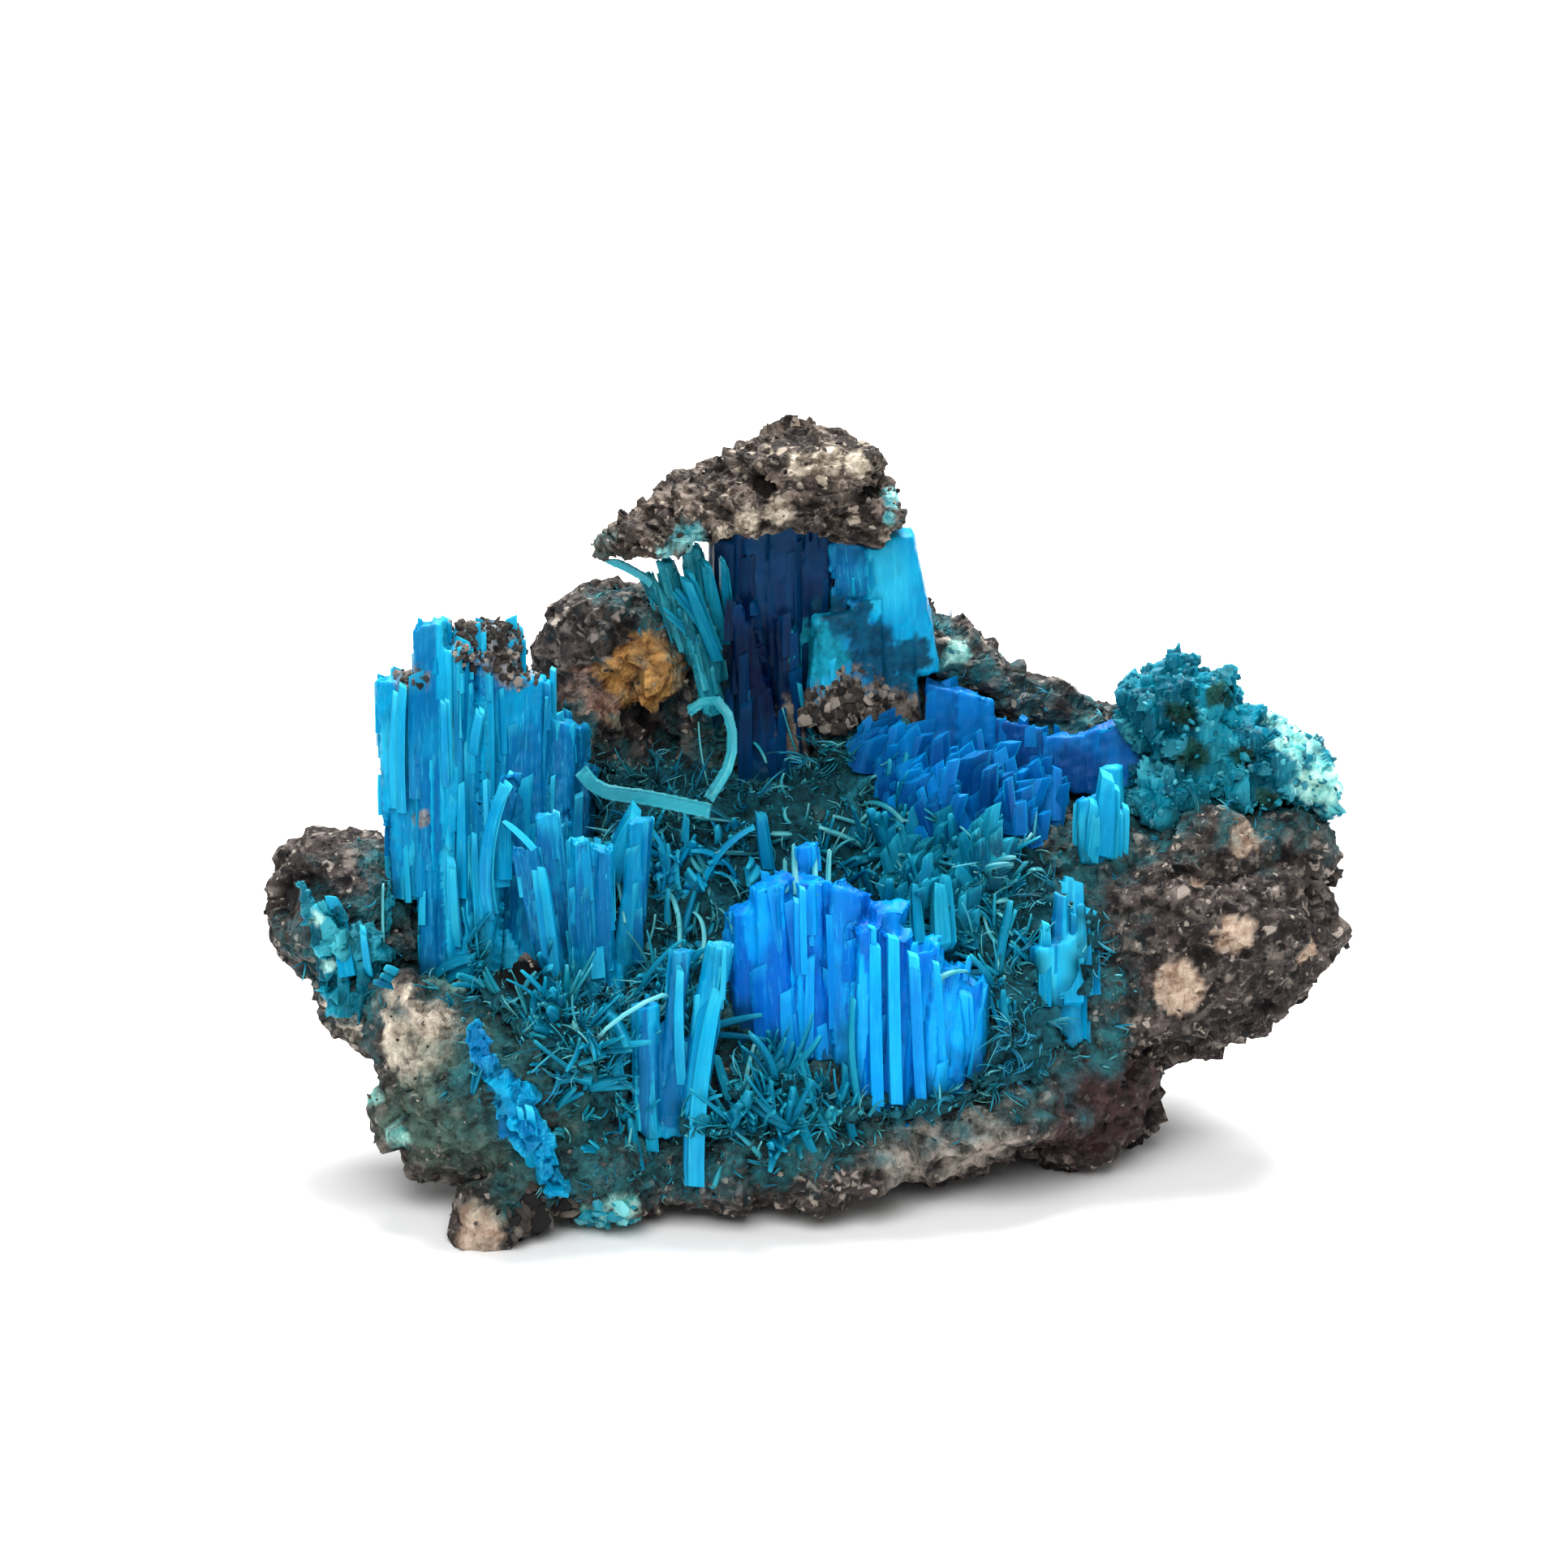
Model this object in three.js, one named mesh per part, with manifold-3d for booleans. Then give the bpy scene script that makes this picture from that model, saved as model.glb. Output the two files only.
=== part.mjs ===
// Chalcanthite on its matrix: a hand-sized piece of brown vuggy rock whose hollow front is lined with
// blue copper sulphate. Cross-fibre bundles stand in the hollow, and one of them carries a loose flake
// of the wall rock. Millimetres, +Z up, -Y is the face with the crystals, and it stands on Z = 0.
import * as THREE from 'three';
import { ConvexGeometry } from 'three/addons/geometries/ConvexGeometry.js';
import { ImprovedNoise } from 'three/addons/math/ImprovedNoise.js';
import { mergeVertices } from 'three/addons/utils/BufferGeometryUtils.js';
import Module from 'manifold-3d';

const wasm = await Module();
wasm.setup();

// Driving dimensions.
const SPECIMEN_WIDTH = 60;
const SPECIMEN_HEIGHT = 40;
const FACE_TILT = 43; // degrees between the table and the hollow's floor
const SEAT_GAP = 0.3; // between a crystal and the rock or crystal that it grew on
const CRUST_DEPTH = 1.1; // of the green crust that lines the hollow
const ROOT_LENGTH = 2.5; // how far a fibre runs down past its visible foot
const FLAKE_THICKNESS = 1.5; // of the thin beds that make up the loose cap
const TUFT_SPACING = 4.4; // between the tufts of fine fibres on the crust
const TUFT_HEIGHT = 3.4;
const TUFT_WIDTH = 3;
const tuftField = { left: -25, right: 17, front: -13, back: 4 };
const GOLDEN_ANGLE = Math.PI * (3 - Math.sqrt(5));

const degrees = THREE.MathUtils.degToRad;
const noise = new ImprovedNoise();

const rockBrown = { color: 0x4a3f3b, roughness: 0.9, metalness: 0 };
const flakeBrown = { color: 0x54473f, roughness: 0.9, metalness: 0 };
const azure = { color: 0x1585d8, roughness: 0.35, metalness: 0 };
const cobalt = { color: 0x0a55b8, roughness: 0.3, metalness: 0 };
const deepBlue = { color: 0x052a6a, roughness: 0.35, metalness: 0 };
const turquoise = { color: 0x2a9bb5, roughness: 0.45, metalness: 0 };
const crustGreen = { color: 0x1d5f66, roughness: 0.7, metalness: 0 };

// A closed three.js geometry as a manifold-3d solid.
function solidOf(geometry) {
  const bare = geometry.clone();
  bare.deleteAttribute('normal');
  bare.deleteAttribute('uv');
  const merged = mergeVertices(bare, 1e-4);
  return new wasm.Manifold(new wasm.Mesh({
    numProp: 3,
    vertProperties: merged.attributes.position.array,
    triVerts: new Uint32Array(merged.index.array),
  }));
}

// A manifold-3d solid as a named three.js mesh.
function meshOf(name, solid, finish) {
  const made = solid.getMesh();
  const geometry = new THREE.BufferGeometry();
  geometry.setAttribute('position', new THREE.BufferAttribute(made.vertProperties, 3));
  geometry.setIndex(new THREE.BufferAttribute(made.triVerts, 1));
  const mesh = new THREE.Mesh(geometry, new THREE.MeshStandardMaterial(finish));
  mesh.name = name;
  return mesh;
}

function joined(solids) {
  return solids.reduce((sum, next) => sum.add(next));
}

// Cutting a bundle by its neighbours can leave loose crumbs, and only the bundle itself is kept.
function largestOf(solid) {
  const bodies = solid.decompose();
  return bodies.reduce((best, body) => (body.volume() > best.volume() ? body : best));
}

function turnOf(angles = [0, 0, 0]) {
  return new THREE.Matrix4().makeRotationFromEuler(new THREE.Euler(...angles.map(degrees)));
}

// Directions spread evenly over a ball.
function spreadDirections(count, seed) {
  return Array.from({ length: count }, (_, i) => {
    const height = 1 - (2 * (i + 0.5)) / count;
    const round = Math.sqrt(1 - height * height);
    const angle = i * GOLDEN_ANGLE + seed;
    return new THREE.Vector3(round * Math.cos(angle), round * Math.sin(angle), height);
  });
}

function seedOf(at) {
  return at[0] * 1.7 + at[1] * 3.1 + at[2] * 5.3;
}

// Broken rock: the convex shape around scattered corners, so that it shows flat fracture faces.
function chunk({ at, half, turn, corners = 26, jag = 0.2, boxy = 3 }, grow = 0) {
  const seed = seedOf(at);
  const points = spreadDirections(corners, seed).map((way, i) => {
    const square =
      (Math.abs(way.x) ** boxy + Math.abs(way.y) ** boxy + Math.abs(way.z) ** boxy) ** (1 / boxy);
    const reach = (1 + jag * noise.noise(seed + i * 0.73, i * 1.37, 0.5)) / square;
    return way.multiplyScalar(reach).multiply(new THREE.Vector3(...half).addScalar(grow));
  });
  const geometry = new ConvexGeometry(points);
  geometry.applyMatrix4(turnOf(turn));
  geometry.translate(...at);
  return solidOf(geometry);
}

// The small blocks that stand out of a big one, where its beds broke off at different depths.
function cragsOf({ at, half, turn, crags = 0 }) {
  const seed = seedOf(at);
  const smallest = Math.min(...half);
  return spreadDirections(crags, seed + 1).map((way, i) => {
    const place = way.multiply(new THREE.Vector3(...half)).multiplyScalar(0.9).applyMatrix4(turnOf(turn));
    const size = smallest * (0.34 + 0.2 * noise.noise(seed, i * 1.9, 0.3));
    return {
      at: [at[0] + place.x, at[1] + place.y, at[2] + place.z],
      half: [size * 1.5, size * 1.2, size * 0.8],
      turn: [i * 37, i * 23, i * 71],
      corners: 10,
      jag: 0.3,
    };
  });
}

// One fibre or blade: a flat-sided prism from its foot to its tip, with a slanting cleaved end.
function blade(
  { foot, tip, width, thick = width, sides = 5, taper = 0.85, slant = 0.3, bow = 0 },
  grow = 0,
) {
  const from = new THREE.Vector3(...foot);
  const to = new THREE.Vector3(...tip);
  const along = to.clone().sub(from).normalize();
  from.addScaledVector(along, -ROOT_LENGTH - grow);
  const length = to.distanceTo(from) + grow;
  const steps = bow ? 5 : 1;
  const geometry = new THREE.CylinderGeometry(taper, 1, length, sides, steps);
  geometry.rotateX(Math.PI / 2);
  geometry.rotateZ(Math.PI / sides);
  const position = geometry.attributes.position;
  const slantWay = Math.sin(foot[0] * 2.7 + tip[2]);
  for (let i = 0; i < position.count; i += 1) {
    const share = position.getZ(i) / length + 0.5;
    const x = position.getX(i) * (width / 2 + grow);
    const y = position.getY(i) * (thick / 2 + grow);
    const cleaved = share > 0.999 ? slant * (x * slantWay - Math.abs(y) * 0.6) : 0;
    const bowed = bow * (share * share - share);
    position.setXYZ(i, x + bowed, y, share * length + cleaved);
  }
  const side = new THREE.Vector3(0, 1, 0).cross(along).normalize();
  const back = along.clone().cross(side);
  geometry.applyMatrix4(new THREE.Matrix4().makeBasis(side, back, along));
  geometry.translate(from.x, from.y, from.z);
  return solidOf(geometry);
}

// A flat curl of satin fibre, swept along a smooth line.
function ribbon({ through, width, thick, steps = 8 }, grow = 0) {
  const line = new THREE.CatmullRomCurve3(through.map((p) => new THREE.Vector3(...p)));
  const across = width / 2 + grow;
  const deep = thick / 2 + grow;
  const section = new THREE.Shape();
  section.moveTo(-deep, -across).lineTo(deep, -across).lineTo(deep, across).lineTo(-deep, across);
  section.closePath();
  return solidOf(new THREE.ExtrudeGeometry(section, { steps, extrudePath: line, bevelEnabled: false }));
}

// The brown matrix: a keel on the table, a tilted floor for the hollow, a wing at each end, and a
// ridge along the back that the vein and the columns grew against.
const matrixLumps = [
  // keel and tilted floor
  { at: [1, 4, 6], half: [18, 8, 7.5], corners: 28, crags: 1 },
  { at: [-1, -1, 10.6], half: [22, 14, 5.6], turn: [FACE_TILT, 0, 0], corners: 28 },
  // left wing, and the rounded lobe that comes forward below it
  { at: [-25, 0.6, 13.4], half: [5.4, 5.4, 3.8], turn: [0, 12, 0], corners: 20, crags: 3 },
  { at: [-23.8, -1.6, 9.4], half: [4, 4.6, 3.2], turn: [0, 30, 0], corners: 18, crags: 1 },
  { at: [-16, -8.2, 6.8], half: [7.8, 6.2, 5.6], turn: [24, -6, 0], corners: 28, boxy: 2.4 },
  { at: [-21.2, -7.6, 9.6], half: [3.2, 2.6, 2.8], corners: 16 },
  { at: [-12.4, -12.2, 3.6], half: [5.4, 2.8, 2.8], turn: [0, 12, 0], corners: 18, crags: 2 },
  { at: [-17.2, -14.4, 1.2], half: [2.2, 1.9, 2], corners: 16 },
  // front lip, the pale block beside it, and the dark red block at its right
  { at: [-2, -10.6, 3.6], half: [9, 3.6, 2.2], turn: [14, 0, 0], corners: 20, crags: 2 },
  { at: [8.4, -7.4, 4.4], half: [5.8, 4, 3.4], turn: [0, -14, 0], corners: 18, crags: 1 },
  { at: [15.8, -3.6, 4.2], half: [4.4, 3.8, 4.2], corners: 18, crags: 2 },
  // the big right-hand slab with pale clasts, and its tip below the crest
  { at: [21, 0.2, 11.8], half: [9.2, 5.2, 6.6], turn: [-16, -24, 0], corners: 26, crags: 5 },
  { at: [14.6, -2.6, 8.6], half: [7, 4.4, 3.8], turn: [0, -20, 0], corners: 20, crags: 1 },
  { at: [26.6, 2, 12], half: [3.6, 3.6, 4], turn: [0, 20, 0], corners: 16 },
  { at: [26.4, 3, 16.4], half: [4, 4, 2.8], corners: 18, crags: 2 },
  // ridge behind the hollow, from the left shoulder to the crest
  { at: [-10.7, 8, 26.3], half: [4.3, 3.4, 4.2], turn: [0, -18, 0], corners: 20, crags: 4 },
  { at: [-13, 6.4, 19.4], half: [6.4, 5, 5], corners: 18 },
  { at: [-1, 10.6, 20], half: [11, 4.6, 9.6], turn: [0, -6, 0], corners: 26, crags: 3 },
  { at: [14, 9.2, 16.6], half: [12.4, 4.6, 6], turn: [0, 14, 0], corners: 24, crags: 3 },
  { at: [9.2, 8.4, 26], half: [4.2, 2.6, 1.3], turn: [0, 34, 0], corners: 16 },
  { at: [14.4, 8.4, 22.4], half: [4.4, 2.8, 1.8], turn: [0, 22, 0], corners: 16 },
  // a lump of rock that stands in the hollow at the foot of the columns
  { at: [3.6, 5, 22.2], half: [2.9, 2.2, 1.9], corners: 16, crags: 2 },
];

// What dissolved out of the rock before the sulphate grew: the wide hollow and the pocket behind it.
const hollowLumps = [
  { at: [-1.5, -8.8, 17.8], half: [16, 12, 8], turn: [FACE_TILT, 0, 0], corners: 22, jag: 0.1, boxy: 2.2 },
  { at: [-5, 1.6, 22.6], half: [8, 5.4, 4.4], corners: 18, jag: 0.1, boxy: 2.2 },
];

// The loose cap: thin beds of the same rock, stepped towards a point at the left.
const capBeds = [
  { at: [0.3, 6.4, 38.1], half: [4.5, 3.8, FLAKE_THICKNESS], turn: [5, 2, 0], corners: 20 },
  { at: [-2.2, 6, 36.6], half: [6.4, 4.4, FLAKE_THICKNESS], turn: [4, -9, 0], corners: 22, crags: 3 },
  { at: [-6.4, 5, 35.2], half: [4.6, 3.2, 1.2], turn: [4, -12, 8], corners: 18, crags: 2 },
  { at: [-9.8, 4.6, 34.3], half: [2.3, 1.6, 0.8], turn: [0, -14, 12], corners: 12 },
  { at: [2.8, 6, 35.5], half: [2.8, 3.4, 1.8], turn: [0, 14, 0], corners: 16, crags: 2 },
];

// Every crystal bundle, from the back to the front: its blades, and the massive sulphate at their feet
// that joins them.
const bundles = [
  {
    name: 'column_crystals', // the deep blue columns that carry the cap
    finish: deepBlue,
    roots: [{ at: [-1.4, 7.4, 25], half: [3.4, 1.8, 4], corners: 16 }],
    blades: [
      { foot: [-4.3, 7, 25], tip: [-4.4, 7, 33.8], width: 2.2, thick: 2.6 },
      { foot: [-2.9, 6.8, 22.3], tip: [-2.9, 7, 35], width: 2.8, thick: 3.6 },
      { foot: [-1.2, 6.6, 21.8], tip: [-1, 7, 35.4], width: 2.8, thick: 3.6 },
      { foot: [0.6, 7, 23.6], tip: [0.9, 7.5, 36], width: 2.6, thick: 3.6 },
      { foot: [-2.2, 4.8, 22.2], tip: [-3.5, 5.4, 30.4], width: 3, thick: 2.4, taper: 0.6, sides: 4 },
      { foot: [-0.4, 5, 22.4], tip: [-1, 5.6, 29.4], width: 2.4, thick: 2.2, taper: 0.6, sides: 4 },
    ],
  },
  {
    name: 'peak_crystals', // bright blocks between the columns and the right shoulder
    finish: azure,
    roots: [{ at: [4, 7, 28.4], half: [2.6, 1.6, 2.6], corners: 16 }],
    blades: [
      { foot: [5.8, 6.4, 28.4], tip: [4.8, 6.6, 34.2], width: 4.4, thick: 4, sides: 4 },
      { foot: [3.1, 6.4, 30], tip: [2.8, 6.8, 34], width: 4.2, thick: 3, sides: 4 },
      { foot: [1.5, 4.4, 26], tip: [1.8, 5, 29.8], width: 3.8, thick: 2.6, taper: 0.75, sides: 4 },
      { foot: [3.6, 4.6, 26.2], tip: [3.6, 5.4, 30.6], width: 3, thick: 2.4, sides: 4 },
      { foot: [5.4, 5, 25.8], tip: [5.2, 6, 29.4], width: 3, thick: 2.4, sides: 4 },
    ],
  },
  {
    name: 'fan_crystals', // a teal fan at the left of the columns
    finish: turquoise,
    roots: [{ at: [-6, 6.6, 28.4], half: [1.8, 1.4, 2.2], corners: 14 }],
    blades: [
      { foot: [-6.3, 5.6, 27.6], tip: [-9, 5.6, 31.8], width: 1.4, thick: 1.5, taper: 0.6, sides: 4 },
      { foot: [-5.9, 5.4, 27.8], tip: [-7.8, 5.6, 32.8], width: 1.5, thick: 1.5, taper: 0.6, sides: 4 },
      { foot: [-5.5, 5.6, 28], tip: [-6.3, 5.8, 33.4], width: 2, thick: 1.8, taper: 0.7, sides: 4 },
      { foot: [-5.6, 5, 26.2], tip: [-6.8, 4.4, 30.4], width: 1.4, thick: 1.4, taper: 0.5, sides: 4 },
    ],
  },
  {
    name: 'vein_crystals', // the cobalt band along the ridge
    finish: cobalt,
    roots: [
      { at: [9.4, 5.6, 19.6], half: [4.4, 2, 2.6], corners: 16, boxy: 4 },
      { at: [15.6, 5.4, 19.4], half: [5.4, 2, 2.4], turn: [0, 4, 0], corners: 16, boxy: 4 },
    ],
    blades: [
      { foot: [8.9, 3.4, 18.5], tip: [8.9, 5.4, 25.2], width: 5.4, thick: 3.6, sides: 4, taper: 0.95 },
      { foot: [6.6, 3, 17.4], tip: [6, 5, 22.8], width: 3.4, thick: 2.6 },
      { foot: [12, 3.2, 17.6], tip: [12, 5.2, 23.4], width: 5, thick: 3.6, sides: 4, taper: 0.95 },
      { foot: [15, 3, 17.4], tip: [15, 5, 22.6], width: 5, thick: 3.6, sides: 4, taper: 0.95 },
      { foot: [17.8, 3, 18.2], tip: [17.8, 5.2, 23.2], width: 4.8, thick: 3.6, sides: 4, taper: 0.95 },
      { foot: [5.3, 1.7, 19], tip: [5.2, 3.4, 22.8], width: 2.2, thick: 1.8, taper: 0.5, sides: 4 },
      { foot: [7.2, 1.2, 18.6], tip: [7.8, 3, 22.8], width: 2.4, thick: 1.6, taper: 0.6 },
    ],
  },
  {
    name: 'crest_crystals', // the turquoise knob at the right-hand end
    finish: turquoise,
    roots: [
      { at: [21.6, 5.2, 22.6], half: [4, 3.4, 3.8], corners: 20 },
      { at: [26.2, 4.6, 20.6], half: [4.2, 3.4, 3], turn: [0, 34, 0], corners: 18 },
      { at: [20.4, 2.4, 19.4], half: [3, 2.2, 2.4], corners: 14 },
    ],
    blades: [
      { foot: [19.6, 4.4, 20.4], tip: [19, 5, 25.4], width: 3.4, thick: 3.6, sides: 4 },
      { foot: [21.8, 4.6, 22], tip: [21.4, 5.4, 27.2], width: 4, thick: 4, taper: 0.5, sides: 4 },
      { foot: [23.6, 4.4, 21], tip: [24, 5, 26], width: 3.6, thick: 4, taper: 0.6, sides: 4 },
      { foot: [26, 4, 19], tip: [26.8, 4.8, 24], width: 3.6, thick: 4, taper: 0.6, sides: 4 },
      { foot: [27.9, 3.6, 17.2], tip: [30, 3.8, 20], width: 3.2, thick: 4, taper: 0.7, sides: 4 },
      { foot: [24.4, 1.6, 18.4], tip: [24.8, 1.4, 22], width: 3, thick: 3, taper: 0.5, sides: 4 },
    ],
  },
  {
    name: 'left_tower_crystals', // the tall bundle at the left
    finish: azure,
    roots: [
      { at: [-17.6, 0.6, 19], half: [4.6, 2.2, 5.6], turn: [-14, 0, 0], corners: 16, boxy: 4 },
      { at: [-17.8, 0.8, 29.2], half: [2, 1.4, 1.5], corners: 14 },
    ],
    blades: [
      { foot: [-22, -1.5, 17.7], tip: [-22.6, 0.5, 27.6], width: 3.4, thick: 3.8, sides: 4 },
      { foot: [-20.3, -4.4, 12.9], tip: [-20.7, 0.4, 30.9], width: 2.8, thick: 4.2, sides: 4 },
      { foot: [-18.7, -4.9, 12.4], tip: [-18.8, 0, 29.4], width: 3.4, thick: 4 },
      { foot: [-16.9, -3.6, 13], tip: [-17.3, 1.4, 30.4], width: 3.6, thick: 4 },
      { foot: [-15.6, -3.8, 13.8], tip: [-15.4, 1.2, 27.6], width: 3.4, thick: 4.4 },
      { foot: [-14.2, -2.6, 14.6], tip: [-13.4, 1.8, 24.6], width: 3.2, thick: 4.2 },
      { foot: [-13.2, -2, 15.8], tip: [-12.4, 2, 21.8], width: 2.4, thick: 3.6 },
      { foot: [-17.3, -6.8, 14], tip: [-16, -4.8, 23.8], width: 1.4, thick: 1.2, bow: 1.6 },
    ],
  },
  {
    name: 'left_edge_crystals', // turquoise plates on the left wing
    finish: turquoise,
    roots: [{ at: [-25, -5, 13], half: [2.6, 1.2, 1.2], corners: 10 }],
    blades: [
      { foot: [-26, -6, 12.2], tip: [-26.3, -5.4, 15.8], width: 2.2, thick: 1.4, sides: 4 },
      { foot: [-24, -6.2, 12], tip: [-24.2, -5.4, 14.8], width: 2.4, thick: 1.4, sides: 4 },
      { foot: [-26.9, -5.4, 13], tip: [-27.9, -4.4, 17.2], width: 1.2, thick: 1, taper: 0.5, sides: 4 },
      { foot: [-23.2, -4.8, 13], tip: [-23, -3.8, 17], width: 0.9, thick: 0.9, taper: 0.6, sides: 4 },
    ],
  },
  {
    name: 'mid_left_crystals', // free-standing columns in front of the tower
    finish: azure,
    roots: [{ at: [-12, -7.4, 12], half: [2.2, 1.4, 1.8], corners: 16 }],
    blades: [
      { foot: [-13.3, -7.8, 12.4], tip: [-15.3, -7.4, 20.4], width: 2.2, thick: 1.8, bow: 0.8, sides: 4 },
      { foot: [-12.6, -6.8, 12.2], tip: [-14.1, -6.3, 22], width: 2, thick: 1.7, bow: 0.7, sides: 4 },
      { foot: [-12.2, -8, 12], tip: [-12.2, -7.5, 20.9], width: 1.4, thick: 1.4 },
      { foot: [-11, -7.9, 12], tip: [-10.9, -7.4, 20.5], width: 1.5, thick: 1.4 },
      { foot: [-10, -6.2, 13.2], tip: [-9, -5.2, 21.2], width: 2, thick: 1.3, bow: -0.9, sides: 4 },
    ],
  },
  {
    name: 'right_high_crystal', // a lone prism under the vein
    finish: azure,
    roots: [{ at: [16.8, 0, 17], half: [1.6, 1.2, 1.2], corners: 14 }],
    blades: [
      { foot: [16.3, -0.7, 16.8], tip: [16.2, 0.2, 20.6], width: 2.4, thick: 2 },
      { foot: [17.4, -0.2, 17], tip: [17.3, 0.6, 22.2], width: 1.8, thick: 1.7 },
    ],
  },
  {
    name: 'right_low_crystal', // a gabled prism at the edge of the bare rock
    finish: azure,
    roots: [{ at: [14.4, -6.2, 10.2], half: [1.9, 1.3, 1.3], corners: 14 }],
    blades: [
      { foot: [14.2, -7, 9.6], tip: [14, -6.4, 14.4], width: 3.4, thick: 2, sides: 6, taper: 0.9 },
      { foot: [14.2, -6.6, 9.9], tip: [14.3, -5.8, 17], width: 1.9, thick: 1.7, taper: 0.5 },
      { foot: [15.7, -6.8, 10.2], tip: [15.4, -6, 16.4], width: 0.9, thick: 0.9, taper: 0.7, sides: 4 },
    ],
  },
  {
    name: 'front_block_crystals', // the big bright block in the middle of the front
    finish: azure,
    roots: [
      { at: [0.8, -6.6, 11.6], half: [4.2, 2, 4], turn: [-8, 0, 0], corners: 16, boxy: 4 },
      { at: [6, -8, 9.4], half: [3.6, 1.6, 3.4], corners: 14, boxy: 4 },
    ],
    blades: [
      { foot: [-2.9, -8.2, 8.6], tip: [-3.1, -7, 16.8], width: 2.6, thick: 3.4 },
      { foot: [-1.4, -8.6, 8.4], tip: [-1.8, -7, 18.2], width: 2.8, thick: 3.6 },
      { foot: [0.2, -8.7, 8.6], tip: [0.5, -7, 18.5], width: 2.8, thick: 3.6 },
      { foot: [1.9, -8.7, 8.4], tip: [2.6, -7, 18], width: 3, thick: 3.6 },
      { foot: [3.2, -8.7, 8.7], tip: [4.8, -7.4, 17.1], width: 2.8, thick: 3.4 },
      { foot: [3.7, -10.6, 5], tip: [3.5, -9.2, 16.6], width: 2.3, thick: 3 },
      { foot: [5.3, -10.6, 5.4], tip: [5.2, -9.2, 16.3], width: 2.2, thick: 3 },
      { foot: [6.8, -10.2, 6.2], tip: [6.7, -8.9, 15.3], width: 2.2, thick: 3 },
      { foot: [8.2, -9.7, 6.5], tip: [8.1, -8.5, 14], width: 2.2, thick: 3 },
      { foot: [9.4, -9.2, 7.7], tip: [9.3, -8.4, 13.1], width: 2, thick: 2.6 },
      { foot: [1.2, -11, 5.4], tip: [0.5, -10.2, 13], width: 1.4, thick: 1.4, taper: 0.6, sides: 4 },
      { foot: [2.4, -11, 5.2], tip: [2.2, -10.2, 13.6], width: 1.4, thick: 1.4, taper: 0.6, sides: 4 },
      { foot: [0.3, -6.4, 14.7], tip: [0.3, -5.8, 20], width: 2, thick: 1, sides: 4 },
    ],
  },
  {
    name: 'front_left_crystals', // the tall curved blades at the front lip
    finish: azure,
    roots: [{ at: [-6.6, -11.6, 5], half: [2.8, 1.5, 1.6], corners: 16 }],
    blades: [
      { foot: [-8.5, -12.2, 4.2], tip: [-8.5, -11.8, 12.9], width: 1.8, thick: 1.5 },
      { foot: [-7.3, -11.7, 4.9], tip: [-6.6, -11.3, 16], width: 1.6, thick: 1.5, bow: 0.5 },
      { foot: [-6.1, -12.7, 3], tip: [-4.4, -11.5, 16.3], width: 1.9, thick: 1.4, bow: 1.8 },
      { foot: [-5, -10.8, 4.7], tip: [-4.8, -10.3, 11.8], width: 1.3, thick: 1.2, sides: 4 },
    ],
  },
  {
    name: 'lobe_crystals', // a bent streak of blades on the lower left lobe
    finish: azure,
    roots: [{ at: [-15.6, -14.4, 7.6], half: [1.4, 1.6, 2.6], turn: [-20, -22, 0], corners: 14 }],
    blades: [
      { foot: [-14.2, -15.2, 5.4], tip: [-15.8, -15, 9.8], width: 1.8, thick: 1.6 },
      { foot: [-16, -15, 8.6], tip: [-18.2, -13, 12.2], width: 1.8, thick: 1.6 },
    ],
  },
];

// The long curls that lie across the hollow, and the needle that stands out below the cap.
const curls = [
  {
    name: 'long_curl',
    through: [[-12.4, -2.4, 23], [-11.4, -2.8, 22], [-8.6, -3.2, 21.6], [-5, -3.8, 21]],
    width: 1,
    thick: 0.6,
  },
  {
    name: 'hooked_curl',
    through: [[-5.3, -2.6, 21.2], [-4, -2, 23.4], [-4.1, -0.8, 25.6], [-5, -0.2, 26.4], [-6.4, 0.4, 25.4]],
    width: 0.8,
    thick: 0.5,
  },
  {
    name: 'cap_needle',
    through: [[-8.4, 5, 31.4], [-9.4, 4.8, 32.2], [-11.4, 4.2, 33.4]],
    width: 0.7,
    thick: 0.5,
    steps: 4,
  },
];

// Where the green crust and its tufts reach: all of the hollow's floor.
const crustReach = [
  { at: [-2, -5.6, 13.6], half: [19, 13, 6.6], turn: [FACE_TILT, 0, 0], corners: 24, jag: 0.2, boxy: 2.4 },
];

const around = new THREE.BoxGeometry(SPECIMEN_WIDTH * 2, SPECIMEN_WIDTH * 2, SPECIMEN_HEIGHT * 2);
around.translate(0, 0, SPECIMEN_HEIGHT);
const aboveTable = solidOf(around);

function rocksOf(lumps, grow = 0) {
  return joined(lumps.map((lump) => chunk(lump, grow)));
}

function withCrags(lumps) {
  return [...lumps, ...lumps.flatMap(cragsOf)];
}

function matrixBody(grow = 0, lumps = withCrags(matrixLumps)) {
  return largestOf(rocksOf(lumps, grow).subtract(rocksOf(hollowLumps, -grow)).intersect(aboveTable));
}

function bundleBody({ roots, blades }, grow = 0) {
  return joined([...roots.map((root) => chunk(root, grow)), ...blades.map((one) => blade(one, grow))]);
}

// The plain space that a whole bundle takes up, which the crust around its foot leaves free.
function roomOf(bundle) {
  const { vertProperties } = bundleBody(bundle, SEAT_GAP).getMesh();
  const corners = new THREE.BufferAttribute(vertProperties, 3);
  const points = Array.from({ length: corners.count }, (_, i) =>
    new THREE.Vector3().fromBufferAttribute(corners, i),
  );
  return solidOf(new ConvexGeometry(points));
}

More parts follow.
